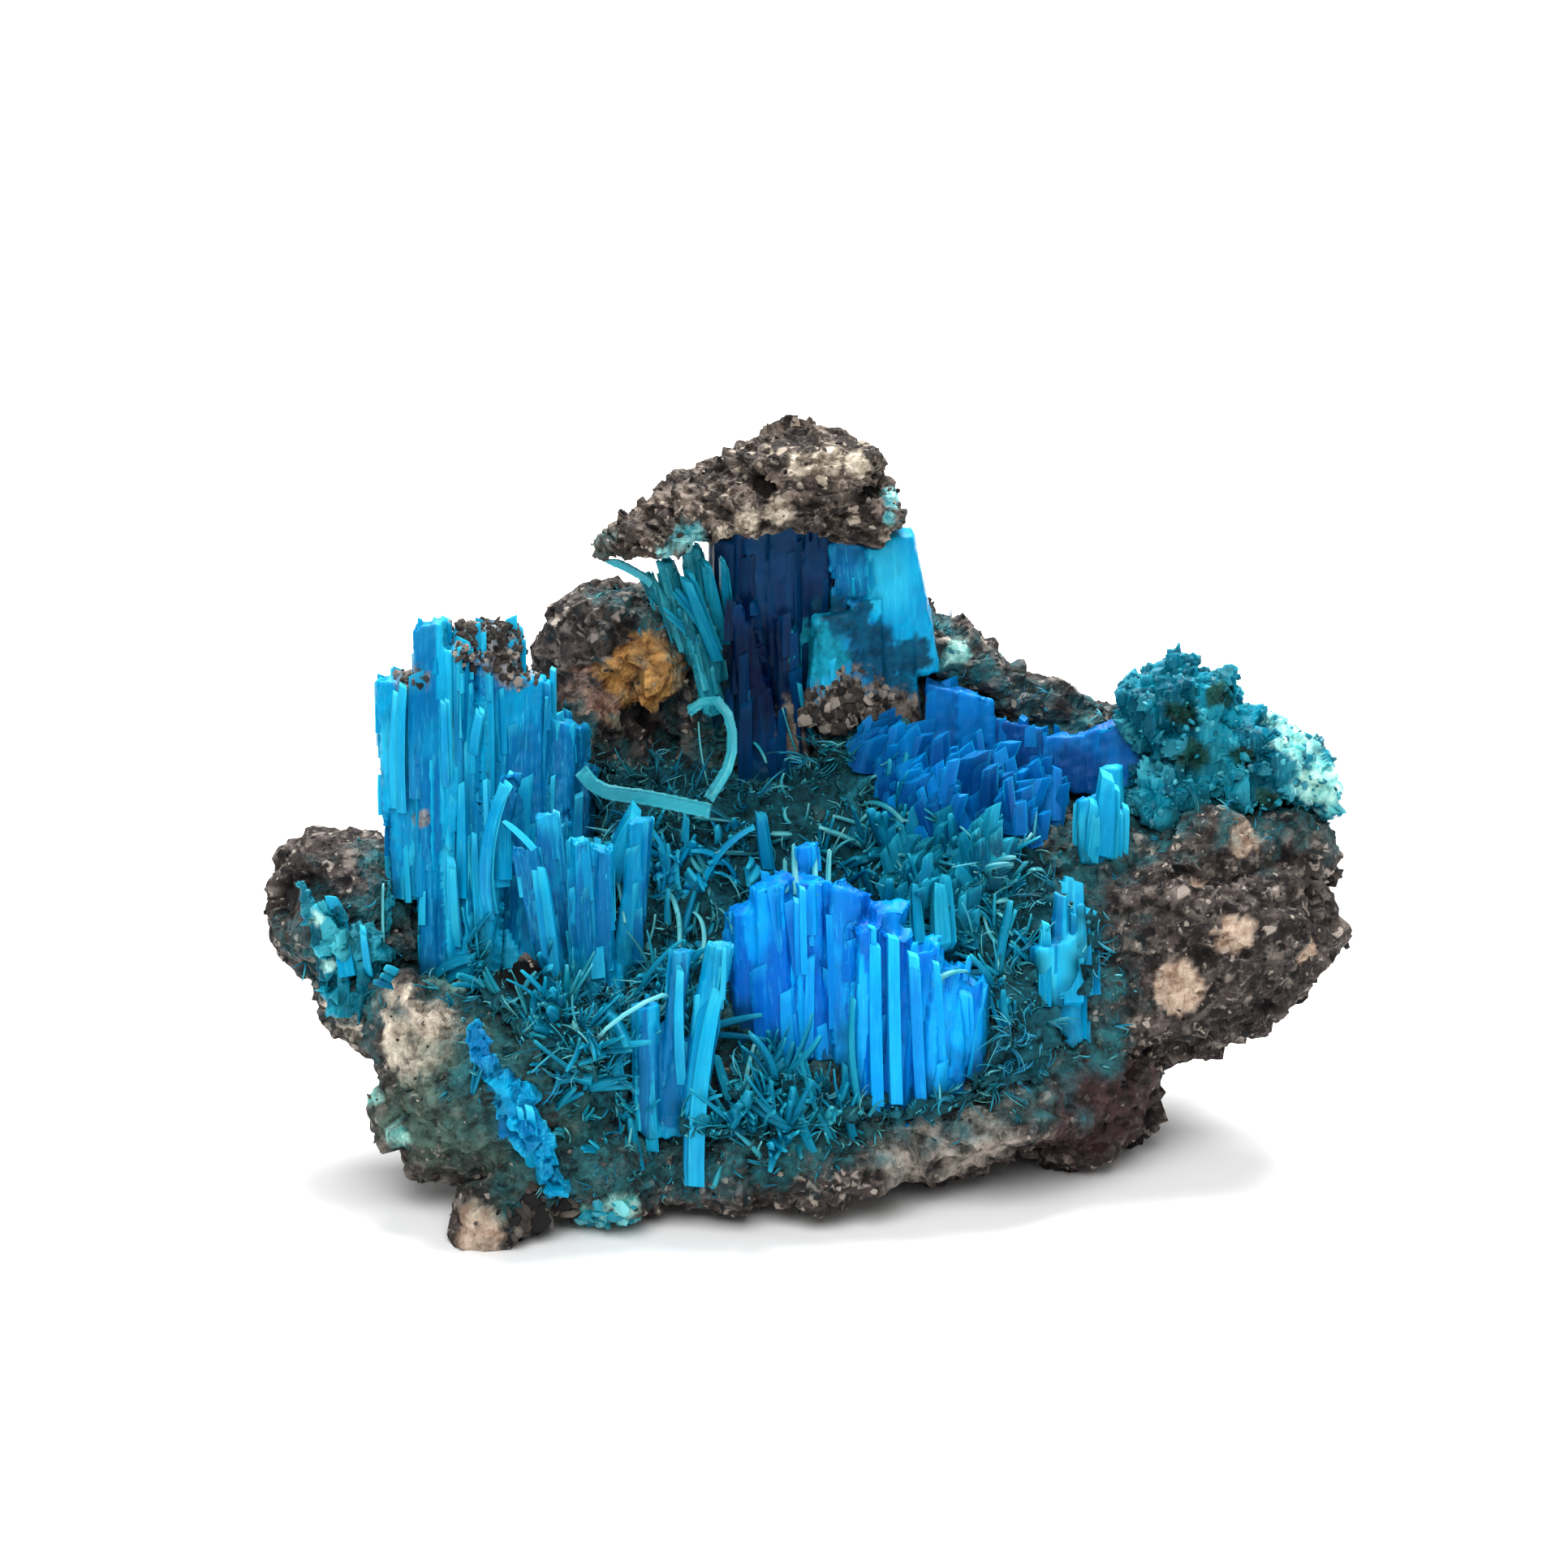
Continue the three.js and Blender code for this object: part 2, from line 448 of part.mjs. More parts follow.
// Tufts of fine fibres: a short blade wherever a line from above meets the hollow's floor.
function tuftsOn(rock) {
  const drop = new THREE.Raycaster();
  const tufts = [];
  for (let x = tuftField.left; x <= tuftField.right; x += TUFT_SPACING) {
    for (let y = tuftField.front; y <= tuftField.back; y += TUFT_SPACING) {
      const stray = noise.noise(x * 0.7, y * 0.7, 0.2) * TUFT_SPACING;
      drop.set(new THREE.Vector3(x + stray, y - stray, SPECIMEN_HEIGHT * 2), new THREE.Vector3(0, 0, -1));
      const foot = drop.intersectObject(rock)[0]?.point;
      if (!foot) continue;
      const lean = noise.noise(x * 1.9, y * 1.3, 0.7) * 2;
      tufts.push({
        foot: foot.toArray(),
        tip: [foot.x + lean, foot.y - 0.8, foot.z + TUFT_HEIGHT + lean * 0.6],
        width: TUFT_WIDTH + lean * 0.4,
        sides: 4,
        taper: 0.3,
      });
    }
  }
  return tufts;
}

// The crust follows the rock's surface, its tufts stand on it, and it stops short of the bundles.
function crustBody(rock) {
  const skin = matrixBody(SEAT_GAP + CRUST_DEPTH, matrixLumps);
  const tufts = joined(tuftsOn(rock).map((tuft) => blade(tuft)));
  const taken = joined([...bundles.map(roomOf), ...curls.map((curl) => ribbon(curl, SEAT_GAP))]);
  return skin.add(tufts).intersect(rocksOf(crustReach)).subtract(taken).subtract(matrixBody(SEAT_GAP));
}

const specimen = new THREE.Group();
const matrixMesh = meshOf('matrix_rock', matrixBody(), rockBrown);
specimen.add(matrixMesh);

const cap = largestOf(rocksOf(withCrags(capBeds)).subtract(matrixBody(SEAT_GAP)));
specimen.add(meshOf('cap_rock', cap, flakeBrown));

let standing = matrixBody(SEAT_GAP).add(rocksOf(withCrags(capBeds), SEAT_GAP));
for (const bundle of bundles) {
  const seated = largestOf(bundleBody(bundle).subtract(standing).intersect(aboveTable));
  specimen.add(meshOf(bundle.name, seated, bundle.finish));
  standing = standing.add(bundleBody(bundle, SEAT_GAP));
}

for (const curl of curls) {
  specimen.add(meshOf(curl.name, largestOf(ribbon(curl).subtract(standing)), turquoise));
  standing = standing.add(ribbon(curl, SEAT_GAP));
}

specimen.add(meshOf('hollow_crust', largestOf(crustBody(matrixMesh)), crustGreen));

// The middle of the footprint is the origin.
const footprint = new THREE.Box3().setFromObject(specimen).getCenter(new THREE.Vector3());
specimen.position.set(-footprint.x, -footprint.y, 0);

export default specimen;
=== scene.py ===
import math

import bmesh
import bpy
import numpy as np
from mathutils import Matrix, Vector, noise
from mathutils.bvhtree import BVHTree
from mathutils.kdtree import KDTree


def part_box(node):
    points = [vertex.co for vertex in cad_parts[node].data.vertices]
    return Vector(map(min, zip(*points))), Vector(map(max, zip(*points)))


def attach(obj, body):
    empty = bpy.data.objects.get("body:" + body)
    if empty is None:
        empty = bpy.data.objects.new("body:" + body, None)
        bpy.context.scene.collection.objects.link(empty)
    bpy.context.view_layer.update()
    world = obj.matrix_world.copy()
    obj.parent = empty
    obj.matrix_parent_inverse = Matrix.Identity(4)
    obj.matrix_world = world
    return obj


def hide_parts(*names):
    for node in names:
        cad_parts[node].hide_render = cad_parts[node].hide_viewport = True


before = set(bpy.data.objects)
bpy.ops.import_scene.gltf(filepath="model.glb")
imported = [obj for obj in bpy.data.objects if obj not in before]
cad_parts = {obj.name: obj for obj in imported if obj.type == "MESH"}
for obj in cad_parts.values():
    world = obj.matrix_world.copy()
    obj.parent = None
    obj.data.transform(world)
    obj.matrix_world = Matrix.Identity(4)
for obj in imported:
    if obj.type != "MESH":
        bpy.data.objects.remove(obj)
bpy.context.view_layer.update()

# Camera
# It looks down at the open front of the hollow by 20 degrees, square to the specimen's length,
# through a long lens, as the photograph was taken.
MM = 0.001
PHOTO_PIXELS = 1932
PIXELS_PER_MM = 22
SENSOR_MM = 36
CAMERA_DISTANCE = 320 * MM
CAMERA_TILT = math.radians(20)
LOOKED_AT = Vector((-1.2, 0, 21.4)) * MM
SIGHT_PIXELS = PIXELS_PER_MM * CAMERA_DISTANCE / MM


def placed(name, data):
    """A new object in the scene that shows this data."""
    made = bpy.data.objects.new(name, data)
    bpy.context.collection.objects.link(made)
    return made


def unit_range(value):
    """The value, kept from 0 to 1."""
    return min(max(value, 0), 1)


camera_data = bpy.data.cameras.new("photo_camera")
camera_data.sensor_width = SENSOR_MM
camera_data.lens = SENSOR_MM * SIGHT_PIXELS / PHOTO_PIXELS
camera_data.clip_start = 10 * MM
camera = placed("photo_camera", camera_data)
towards_camera = Vector((0, -math.cos(CAMERA_TILT), math.sin(CAMERA_TILT)))
camera_right = Vector((1, 0, 0))
camera_up = towards_camera.cross(camera_right)
camera.location = LOOKED_AT + towards_camera * CAMERA_DISTANCE
camera.rotation_euler = (-towards_camera).to_track_quat("-Z", "Y").to_euler()
bpy.context.scene.camera = camera


def photo_pixel(place):
    """Where a point shows in the photograph, across and down."""
    sight = place - camera.location
    scale = SIGHT_PIXELS / -sight.dot(towards_camera)
    return PHOTO_PIXELS / 2 + sight.x * scale, PHOTO_PIXELS / 2 - sight.dot(camera_up) * scale


def photo_ray(pixel):
    """The way the camera looks through a pixel of the photograph."""
    across, down = ((value - PHOTO_PIXELS / 2) / SIGHT_PIXELS for value in pixel)
    return (camera_right * across - camera_up * down - towards_camera).normalized()


def photo_spot(place, spots):
    """1 in the middle of any of the photograph's spots, fading to 0 at its edge."""
    across, down = photo_pixel(place)
    return max(max(1 - math.hypot(across - x, down - y) / radius for x, y, radius in spots), 0)


def photo_mask(place, spots):
    """1 inside any of the photograph's spots, with a ragged rim."""
    ragged = 1.6 * noise.fractal(place / (0.8 * MM), 0.8, 2, 3) - 0.5
    inside = photo_spot(place, spots)
    return unit_range(4 * inside + ragged) if inside else 0


# Matrix rock
# The brown host rock of the vein: fine-grained, full of small pale grains and a few big tan clasts.
# It broke along flat faces, so its surface is facets of every size down to grit.
ROCK_GRID, ROCK_RELIEF, ROCK_PLATES, FILLED = 0.3 * MM, 1.2 * MM, 1.6, 0.14 * MM
BIG_FACET, SMALL_FACET, CHIP, GRIT = 4.6 * MM, 1.9 * MM, 0.8 * MM, 0.12 * MM
ROCK_STAIN_REACH, STAIN_START = 2.6, 0.4
PATCH_SCALE = 900
NOISE_SEED = 5
BED_DIP = Vector((0.2, -0.12, 1)).normalized()
# Each row: the mask of another mineral, its dark and light colours and its strength, how soft its rim
# is, and its spots: middle and radius, in mm of the specimen.
ROCK_PATCHES = [
    ("ochre", (0.16, 0.06, 0.012), (0.62, 0.33, 0.1), 1, 0.1,
     [(-8.4, 5.2, 26.2, 2.5), (-10.2, 5.2, 25.4, 1.7)]),
    ("pink", (0.12, 0.055, 0.04), (0.52, 0.33, 0.24), 1, 0.2,
     [(-12.5, 5.8, 24.6, 1.6), (-11.4, 5.6, 24.2, 1)]),
    ("beige", (0.24, 0.2, 0.16), (0.78, 0.68, 0.55), 1, 0.12,
     [(-21.1, -9.8, 10.2, 2.4), (-25.5, -5.2, 9.6, 1.5), (-22.6, -8.4, 11.6, 1.3)]),
    ("grey", (0.08, 0.07, 0.06), (0.42, 0.36, 0.31), 1, 0.35,
     [(8.4, -11, 5.2, 3), (5.6, -11.4, 3.8, 2), (11, -9.6, 6.2, 1.6)]),
    ("red", (0.008, 0.003, 0.003), (0.05, 0.02, 0.022), 0.85, 0.35,
     [(16.6, -7.6, 4.7, 3.6), (13.4, -7.8, 3.6, 1.8)]),
    ("clast", (0.24, 0.15, 0.1), (0.58, 0.46, 0.36), 1, 0.08,
     [(20.7, -4.6, 11.1, 1.45), (24.5, -0.6, 18.5, 0.95), (23.9, -3.9, 14, 1.2), (28.2, -2.1, 12, 0.8),
      (-17.7, -15.4, 0.8, 1.6), (21.8, -3.4, 16.4, 0.5)]),
    ("moss", (0.004, 0.018, 0.016), (0.07, 0.15, 0.12), 0.75, 0.8,
     [(-17.5, -12.5, 8, 4.6), (-14.6, -14, 4.6, 3.6), (-20.4, -11.6, 6, 3)]),
]
LIP_SPOTS = [(700, 1430, 60), (770, 1430, 70), (860, 1420, 70), (960, 1410, 70), (1050, 1390, 50)]
MINT_SPOTS = [(725, 1505, 34), (690, 1522, 26), (770, 1488, 24), (455, 1345, 20),
              (490, 1400, 18), (1180, 800, 18), (560, 1195, 34), (1080, 905, 16)]

# The same noise in every run.
noise.seed_set(NOISE_SEED)


def skin_of(node, name, grid, smooth=True):
    """A piece of its own with the node's shape, closed and with an even skin of small quads."""
    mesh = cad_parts[node].data.copy()
    mesh.name = name
    shape = bmesh.new()
    shape.from_mesh(mesh)
    bmesh.ops.remove_doubles(shape, verts=shape.verts, dist=MM / 1000)
    shape.to_mesh(mesh)
    shape.free()
    piece = placed(name, mesh)
    modifier = piece.modifiers.new("even_skin", "REMESH")
    modifier.mode = "VOXEL"
    modifier.voxel_size = grid
    modifier.use_smooth_shade = smooth
    seen = piece.evaluated_get(bpy.context.evaluated_depsgraph_get())
    piece.data = bpy.data.meshes.new_from_object(seen)
    piece.modifiers.clear()
    bpy.data.meshes.remove(mesh)
    return piece


def skin_arrays(mesh):
    """A mesh's points and their normals, one to a row."""
    points = np.empty((len(mesh.vertices), 3), np.float32)
    normals = np.empty((len(mesh.vertices), 3), np.float32)
    mesh.vertices.foreach_get("co", points.ravel())
    mesh.vertex_normals.foreach_get("vector", normals.ravel())
    return points, normals


def store(mesh, name, values):
    """Keeps a number, or a vector, per point, which the material reads by this name."""
    values = np.asarray(values, np.float32)
    kind, key = ("FLOAT", "value") if values.ndim == 1 else ("FLOAT_VECTOR", "vector")
    mesh.attributes.new(name, kind, "POINT").data.foreach_set(key, values.ravel())


def flattened(point, plates):
    """The point stretched across the beds, so that round cells become flat plates."""
    return point + BED_DIP * (point.dot(BED_DIP) * (plates - 1))


def facets(point, size, tilt, step):
    """How far broken stone stands out here: flat facets of one size, each tipped and set back a little."""
    place = point / size
    corner = noise.voronoi(place)[1][0]
    lean = noise.noise_vector(corner * 3.7)
    return size * (tilt * (place - corner).dot(lean) + step * noise.noise(corner * 5.1))


def facet_tone(point, size):
    """How light a facet is against its neighbours, about 0 to 1."""
    return 0.5 + noise.noise(noise.voronoi(point / size)[1][0] * 9.1)


def move_skin(piece, points):
    """Puts a skin's points at new places, none of them below the table."""
    points[:, 2] = np.maximum(points[:, 2], 0)
    piece.data.vertices.foreach_set("co", points.ravel())
    piece.data.update()


def push_out(piece, height_at, depth):
    """Moves each point of a skin along its normal and keeps how high it now stands."""
    points, normals = skin_arrays(piece.data)
    heights = np.array([height_at(Vector(point)) for point in points], np.float32)
    move_skin(piece, points + normals * heights[:, None])
    store(piece.data, "relief", np.clip(0.5 + heights / (2 * depth), 0, 1))


def spot_mask(point, spots, rim):
    """1 inside any of the spots, fading to 0 across a ragged rim."""
    ragged = 0.45 * noise.fractal(point / (1.3 * MM), 0.8, 2, 3)
    nearest = max(1 - (point - Vector(middle) * MM).length / (radius * MM) for *middle, radius in spots)
    return unit_range((nearest + ragged) / rim + 0.5)


def add_mask(piece, name, value_at):
    """Keeps for each point of a skin what is found at its place."""
    points, _ = skin_arrays(piece.data)
    store(piece.data, name, [value_at(Vector(point)) for point in points])


def add_photo_masks(piece, **masks):
    """Keeps which points of a skin show in each set of the photograph's spots."""
    for name, spots in masks.items():
        add_mask(piece, name, lambda p: photo_mask(p, spots))


def rock_height(point):
    plates = flattened(point, ROCK_PLATES)
    return (facets(point, BIG_FACET, 0.4, 0.1) + facets(plates, SMALL_FACET, 0.45, 0.14)
            + facets(plates, CHIP, 0.45, 0.16) + GRIT * noise.noise(point / (0.4 * MM)) + FILLED)


def point_tree(points):
    """A search tree of points, each under its own number."""
    tree = KDTree(len(points))
    for index, point in enumerate(points):
        tree.insert(point, index)
    tree.balance()
    return tree


growth = point_tree([vertex.co for name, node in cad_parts.items() if "rock" not in name
                     for vertex in node.data.vertices])


def growth_stain(points, normals, reach):
    """Blue-green stain: strong beside the crystals, gone this many mm away, and only on the open side."""
    stain = []
    for point, normal in zip(points, normals):
        place = Vector(point)
        far = growth.find(place)[2] / MM
        patchy = 0.9 * noise.fractal(place / (1.8 * MM), 0.7, 2, 4)
        open_side = unit_range(0.9 * normal[2] - 0.7 * normal[1] + 0.5)
        stain.append(unit_range(1 - (far - STAIN_START) / reach + patchy) * open_side)
    return stain


rock = skin_of("matrix_rock", "matrix_rock_broken", ROCK_GRID, smooth=False)
push_out(rock, rock_height, ROCK_RELIEF)
add_mask(rock, "tone", lambda p: facet_tone(flattened(p, ROCK_PLATES), CHIP))
for mask, *_, rim, spots in ROCK_PATCHES:
    add_mask(rock, mask, lambda p: spot_mask(p, spots, rim))
add_photo_masks(rock, mint=MINT_SPOTS)
rock_points, rock_normals = skin_arrays(rock.data)
rock_stain = [max(stain, photo_mask(Vector(point), LIP_SPOTS))
              for stain, point in zip(growth_stain(rock_points, rock_normals, ROCK_STAIN_REACH), rock_points)]
store(rock.data, "stain", rock_stain)


def grain_group(name, *inputs):
    """A node group and the sockets of its three colours and one amount; what it puts out is named here."""
    group = bpy.data.node_groups.new(name, "ShaderNodeTree")
    colour, number = "NodeSocketColor", "NodeSocketFloat"
    for socket, kind in zip(inputs, (colour, colour, colour, number)):
        group.interface.new_socket(socket, in_out="INPUT", socket_type=kind)
    for socket, kind in zip(("Color", "Height", "Roughness"), (colour, number, number)):
        group.interface.new_socket(socket, in_out="OUTPUT", socket_type=kind)
    return group, *group.nodes.new("NodeGroupInput").outputs[:len(inputs)]


def put_out(group, *values):
    """Links a group's colour, height and roughness to its way out."""
    for value, socket in zip(values, group.nodes.new("NodeGroupOutput").inputs):
        group.links.new(value, socket)


def feed(tree, socket, value):
    """Links a socket to another, or sets it to a value."""
    if isinstance(value, bpy.types.NodeSocket):
        tree.links.new(value, socket)
    else:
        socket.default_value = value


def add_node(tree, kind, settings=None, **sockets):
    """A node with its settings and its sockets' values or links, named without spaces or capitals."""
    made = tree.nodes.new(kind)
    for key, value in (settings or {}).items():
        setattr(made, key, value)
    by_name = {s.name.lower().replace(" ", "_"): s for s in made.inputs if s.enabled}
    for key, value in sockets.items():
        feed(tree, by_name[key], value)
    return made


def mix(tree, factor, first, second):
    """The colour that lies between two, each a socket or its red, green and blue."""
    made = tree.nodes.new("ShaderNodeMix")
    made.data_type = "RGBA"
    feed(tree, made.inputs[0], factor)
    for socket, colour in zip(made.inputs[6:8], (first, second)):
        feed(tree, socket, (*colour, 1) if isinstance(colour, tuple) else colour)
    return made.outputs[2]


def between(tree, value, low, high, start=0.0, end=1.0):
    """A value that runs from start to end while its source runs from low to high."""
    made = add_node(tree, "ShaderNodeMapRange", None, value=value, from_min=low, from_max=high,
                    to_min=start, to_max=end)
    return made.outputs[0]


def arithmetic(tree, operation, total, *values):
    """Numbers taken together by one operation, from left to right."""
    for value in values:
        made = tree.nodes.new("ShaderNodeMath")
        made.operation = operation
        feed(tree, made.inputs[0], total)
        feed(tree, made.inputs[1], value)
        total = made.outputs[0]
    return total


def mask_of(tree, name):
    """A number that was stored per point."""
    return add_node(tree, "ShaderNodeAttribute", {"attribute_name": name}).outputs["Fac"]


def own_place(tree):
    return add_node(tree, "ShaderNodeTexCoord").outputs["Object"]


def noise_at(tree, vector, scale, detail=4.0, roughness=0.6):
    made = add_node(tree, "ShaderNodeTexNoise", None, vector=vector, scale=scale, detail=detail,
                    roughness=roughness)
    return made.outputs[0]


def shader(name, **sockets):
    """A new material, its node tree and its Principled shader with these values on its own sockets."""
    material = bpy.data.materials.new(name)
    material.use_nodes = True
    principled = material.node_tree.nodes["Principled BSDF"]
    for key, value in sockets.items():
        principled.inputs[key.replace("_", " ")].default_value = value
    return material, material.node_tree, principled


def angular_grains(tree, place, scale, share):
    """1 inside some of the angular grains that fill the stone, 0 elsewhere."""
    cells = add_node(tree, "ShaderNodeTexVoronoi", {"feature": "F1"}, vector=place, scale=scale)
    rims = add_node(tree, "ShaderNodeTexVoronoi", {"feature": "DISTANCE_TO_EDGE"}, vector=place, scale=scale)
    inside = between(tree, rims.outputs["Distance"], 0.05, 0.14)
    return arithmetic(tree, "MULTIPLY", inside, arithmetic(tree, "LESS_THAN", cells.outputs["Color"], share))


# The grain of broken stone: mottled ground, pale mineral grains of two sizes, dark pits, and facets that each
# have a tone of their own. The darkness inside the pits and over the low-lying parts of the relief is painted
# shade.
stone, dark, ground, pale, share = grain_group("stone_grain", "Dark", "Ground", "Pale", "Pale Share")
place = own_place(stone)
blotch = noise_at(stone, place, 420, 6, 0.62)
grit = noise_at(stone, place, 2600, 5, 0.7)
tone = mask_of(stone, "tone")
colour = mix(stone, between(stone, blotch, 0.36, 0.62), dark, ground)
colour = mix(stone, between(stone, tone, 0.5, 0.15, 0, 0.75), colour, dark)
colour = mix(stone, between(stone, tone, 0.6, 1.0, 0, 0.4), colour, pale)
colour = mix(stone, between(stone, grit, 0.52, 0.74, 0, 0.5), colour, pale)
specks = arithmetic(stone, "MAXIMUM", angular_grains(stone, place, 1300, share),
                    angular_grains(stone, place, 2700, share))
colour = mix(stone, arithmetic(stone, "MULTIPLY", specks, 0.85), colour, pale)
pits = between(stone, noise_at(stone, place, 1400, 3, 0.5), 0.36, 0.46)
out_of_recess_shade = between(stone, mask_of(stone, "relief"), 0.25, 0.5)
# Painted shade: the ground turns dark inside the pits and over the low-lying parts of the relief.
colour = mix(stone, arithmetic(stone, "MULTIPLY", pits, out_of_recess_shade), dark, colour)
height = arithmetic(stone, "ADD", grit, arithmetic(stone, "MULTIPLY", pits, 0.7),
                    arithmetic(stone, "MULTIPLY", specks, 0.5))
put_out(stone, colour, height, between(stone, grit, 0.3, 0.8, 0.95, 0.6))


def add_bump(tree, principled, height, strength, depth):
    """Gives a material bumps this many mm deep."""
    bump = add_node(tree, "ShaderNodeBump", None, strength=strength, distance=depth * MM, height=height)
    tree.links.new(bump.outputs[0], principled.inputs["Normal"])


def grained(tree, principled, group, colours, amount, strength, depth):
    """Gives a material a grain group's roughness and bumps, and returns the group's colour."""
    grain = tree.nodes.new("ShaderNodeGroup")
    grain.node_tree = group
    for socket, value in zip(grain.inputs, [*((*colour, 1) for colour in colours), amount]):
        socket.default_value = value
    tree.links.new(grain.outputs["Roughness"], principled.inputs["Roughness"])
    add_bump(tree, principled, grain.outputs["Height"], strength, depth)
    return grain.outputs["Color"]


def patched(tree, colour, scale, patches):
    """Lays mottled patches of other minerals over a colour, each where its mask is."""
    fine = noise_at(tree, own_place(tree), scale, 5, 0.7)
    for mask, dark, light, strength in patches:
        tone = mix(tree, between(tree, fine, 0.38, 0.62), dark, light)
        colour = mix(tree, arithmetic(tree, "MULTIPLY", mask_of(tree, mask), strength), colour, tone)
    return colour


def stone_material(name, colours, share, depth, patches):
    """A material of broken stone with patches of other minerals."""
    material, tree, principled = shader(name, IOR=1.5, Specular_IOR_Level=0.25)
    colour = grained(tree, principled, stone, colours, share, 1.0, depth)
    tree.links.new(patched(tree, colour, PATCH_SCALE, patches), principled.inputs["Base Color"])
    return material


def dress(piece, look, node):
    """Gives a piece the material of its look, hangs it under the root and hides the node of the part that it
    stands for.
    """
    material, slot_name = look
    piece.data.materials.clear()
    piece.data.materials.append(material)
    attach(piece, "root")
    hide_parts(node)


rock_material = stone_material(
    "brown_rock", [(0.008, 0.006, 0.006), (0.06, 0.046, 0.041), (0.34, 0.29, 0.25)], 0.18, 0.16,
    [*(row[:4] for row in ROCK_PATCHES), ("stain", (0.001, 0.012, 0.014), (0.012, 0.13, 0.15), 0.85),
     ("mint", (0.03, 0.25, 0.24), (0.4, 0.68, 0.6), 1)])
dress(rock, (rock_material, "matrix_rock"), "matrix_rock")

# Cap flake
# A loose piece of the other wall of the vein, in thin plates that broke off at different depths.
# The columns carry it, and blue salt has crept over its lower edge.
CAP_GRID, CAP_RELIEF, CAP_STAIN_REACH = 0.18 * MM, 0.9 * MM, 1.2
CAP_PLATE, CAP_FLAKE, CAP_PLATES = 2.6 * MM, 1.1 * MM, 3.6
CREAM_SPOTS = [(1020, 568, 26), (1055, 572, 22), (985, 572, 20), (960, 630, 22),
               (920, 640, 20), (890, 655, 14), (1095, 660, 14)]
SALT_SPOTS = [(1099, 612, 16), (1095, 640, 10), (850, 662, 24), (868, 690, 16), (820, 680, 14)]


def bedded_height(point):
    plates = flattened(point, CAP_PLATES)
    return (facets(plates, CAP_PLATE, 0.25, 0.3) + facets(plates, CAP_FLAKE, 0.35, 0.3)
            + facets(plates, CHIP, 0.3, 0.1))


cap = skin_of("cap_rock", "cap_rock_bedded", CAP_GRID, smooth=False)
push_out(cap, bedded_height, CAP_RELIEF)
add_mask(cap, "tone", lambda p: facet_tone(flattened(p, CAP_PLATES), CAP_FLAKE))
add_photo_masks(cap, cream=CREAM_SPOTS, salt=SALT_SPOTS)
store(cap.data, "stain", growth_stain(*skin_arrays(cap.data), CAP_STAIN_REACH))
cap_material = stone_material(
    "bedded_rock", [(0.01, 0.007, 0.006), (0.09, 0.066, 0.054), (0.36, 0.3, 0.24)], 0.16, 0.12,
    [("cream", (0.12, 0.09, 0.065), (0.66, 0.58, 0.46), 1),
     ("stain", (0.003, 0.02, 0.02), (0.04, 0.15, 0.15), 0.5),
     ("salt", (0.01, 0.16, 0.2), (0.3, 0.64, 0.62), 1)])
dress(cap, (cap_material, "cap_rock"), "cap_rock")

# Crust lining
# The floor of the hollow under the salt felt: rough, and nearly black green-blue.
# Between the left tower and the columns beside it, the shade of one deep hole is painted on it in near black.
CRUST_GRID, CRUST_LUMP, CRUST_CHIP = 0.3 * MM, 1.8 * MM, 0.7 * MM
CRUST_RELIEF, CRUST_SINK, SET_BACK = 1.1 * MM, 0.45 * MM, 3 * MM
# Where the deep hole's shade is painted on the lining.
HOLE_SHADE_SPOTS = [(640, 1190, 44)]
BEHIND_BLOCK = [(935, 1245, 85)]


def crust_height(point):
    return facets(point, CRUST_LUMP, 0.8, 0.5) + facets(point, CRUST_CHIP, 0.6, 0.5) - CRUST_SINK


crust = skin_of("hollow_crust", "hollow_crust_lining", CRUST_GRID)
push_out(crust, crust_height, CRUST_RELIEF)
points, _ = skin_arrays(crust.data)
behind = np.array([min(2 * photo_spot(Vector(point), BEHIND_BLOCK), 1) for point in points])
move_skin(crust, points - np.outer(SET_BACK * behind, towards_camera).astype(np.float32))
add_mask(crust, "hole", lambda p: min(3 * photo_spot(p, HOLE_SHADE_SPOTS), 1))
lining_material, tree, principled = shader("green_blue_lining", IOR=1.5, Roughness=0.8,
                                           Specular_IOR_Level=0.15)
fine = noise_at(tree, own_place(tree), 1500, 5, 0.7)
colour = mix(tree, between(tree, fine, 0.35, 0.65), (0.0008, 0.01, 0.014), (0.005, 0.08, 0.105))
# Painted light: lighter teal on the raised lumps of the lining.
colour = mix(tree, between(tree, mask_of(tree, "relief"), 0.5, 0.8, 0, 0.7), colour, (0.01, 0.19, 0.26))
# Painted shade: near black where the deep hole is.
colour = mix(tree, mask_of(tree, "hole"), colour, (0.0004, 0.0005, 0.0006))
tree.links.new(colour, principled.inputs["Base Color"])
add_bump(tree, principled, fine, 1.0, 0.15)
dress(crust, (lining_material, "green_crust"), "hollow_crust")

# Fibre bundles
# Chalcanthite that grew across the vein as parallel fibres, packed side by side into columns and
# blades. Each bundle splits along its fibres, so its sides are grooved and its top is stepped.
FIBRE_GRID = 0.16 * MM
FIBRE_STRETCH = 14
FOOT_REACH = 1.2 * MM
STRAY, SHORTEST = 0.8 * MM, 0.4 * MM
LEAST_CURL, TIP_START = 0.01, 0.99
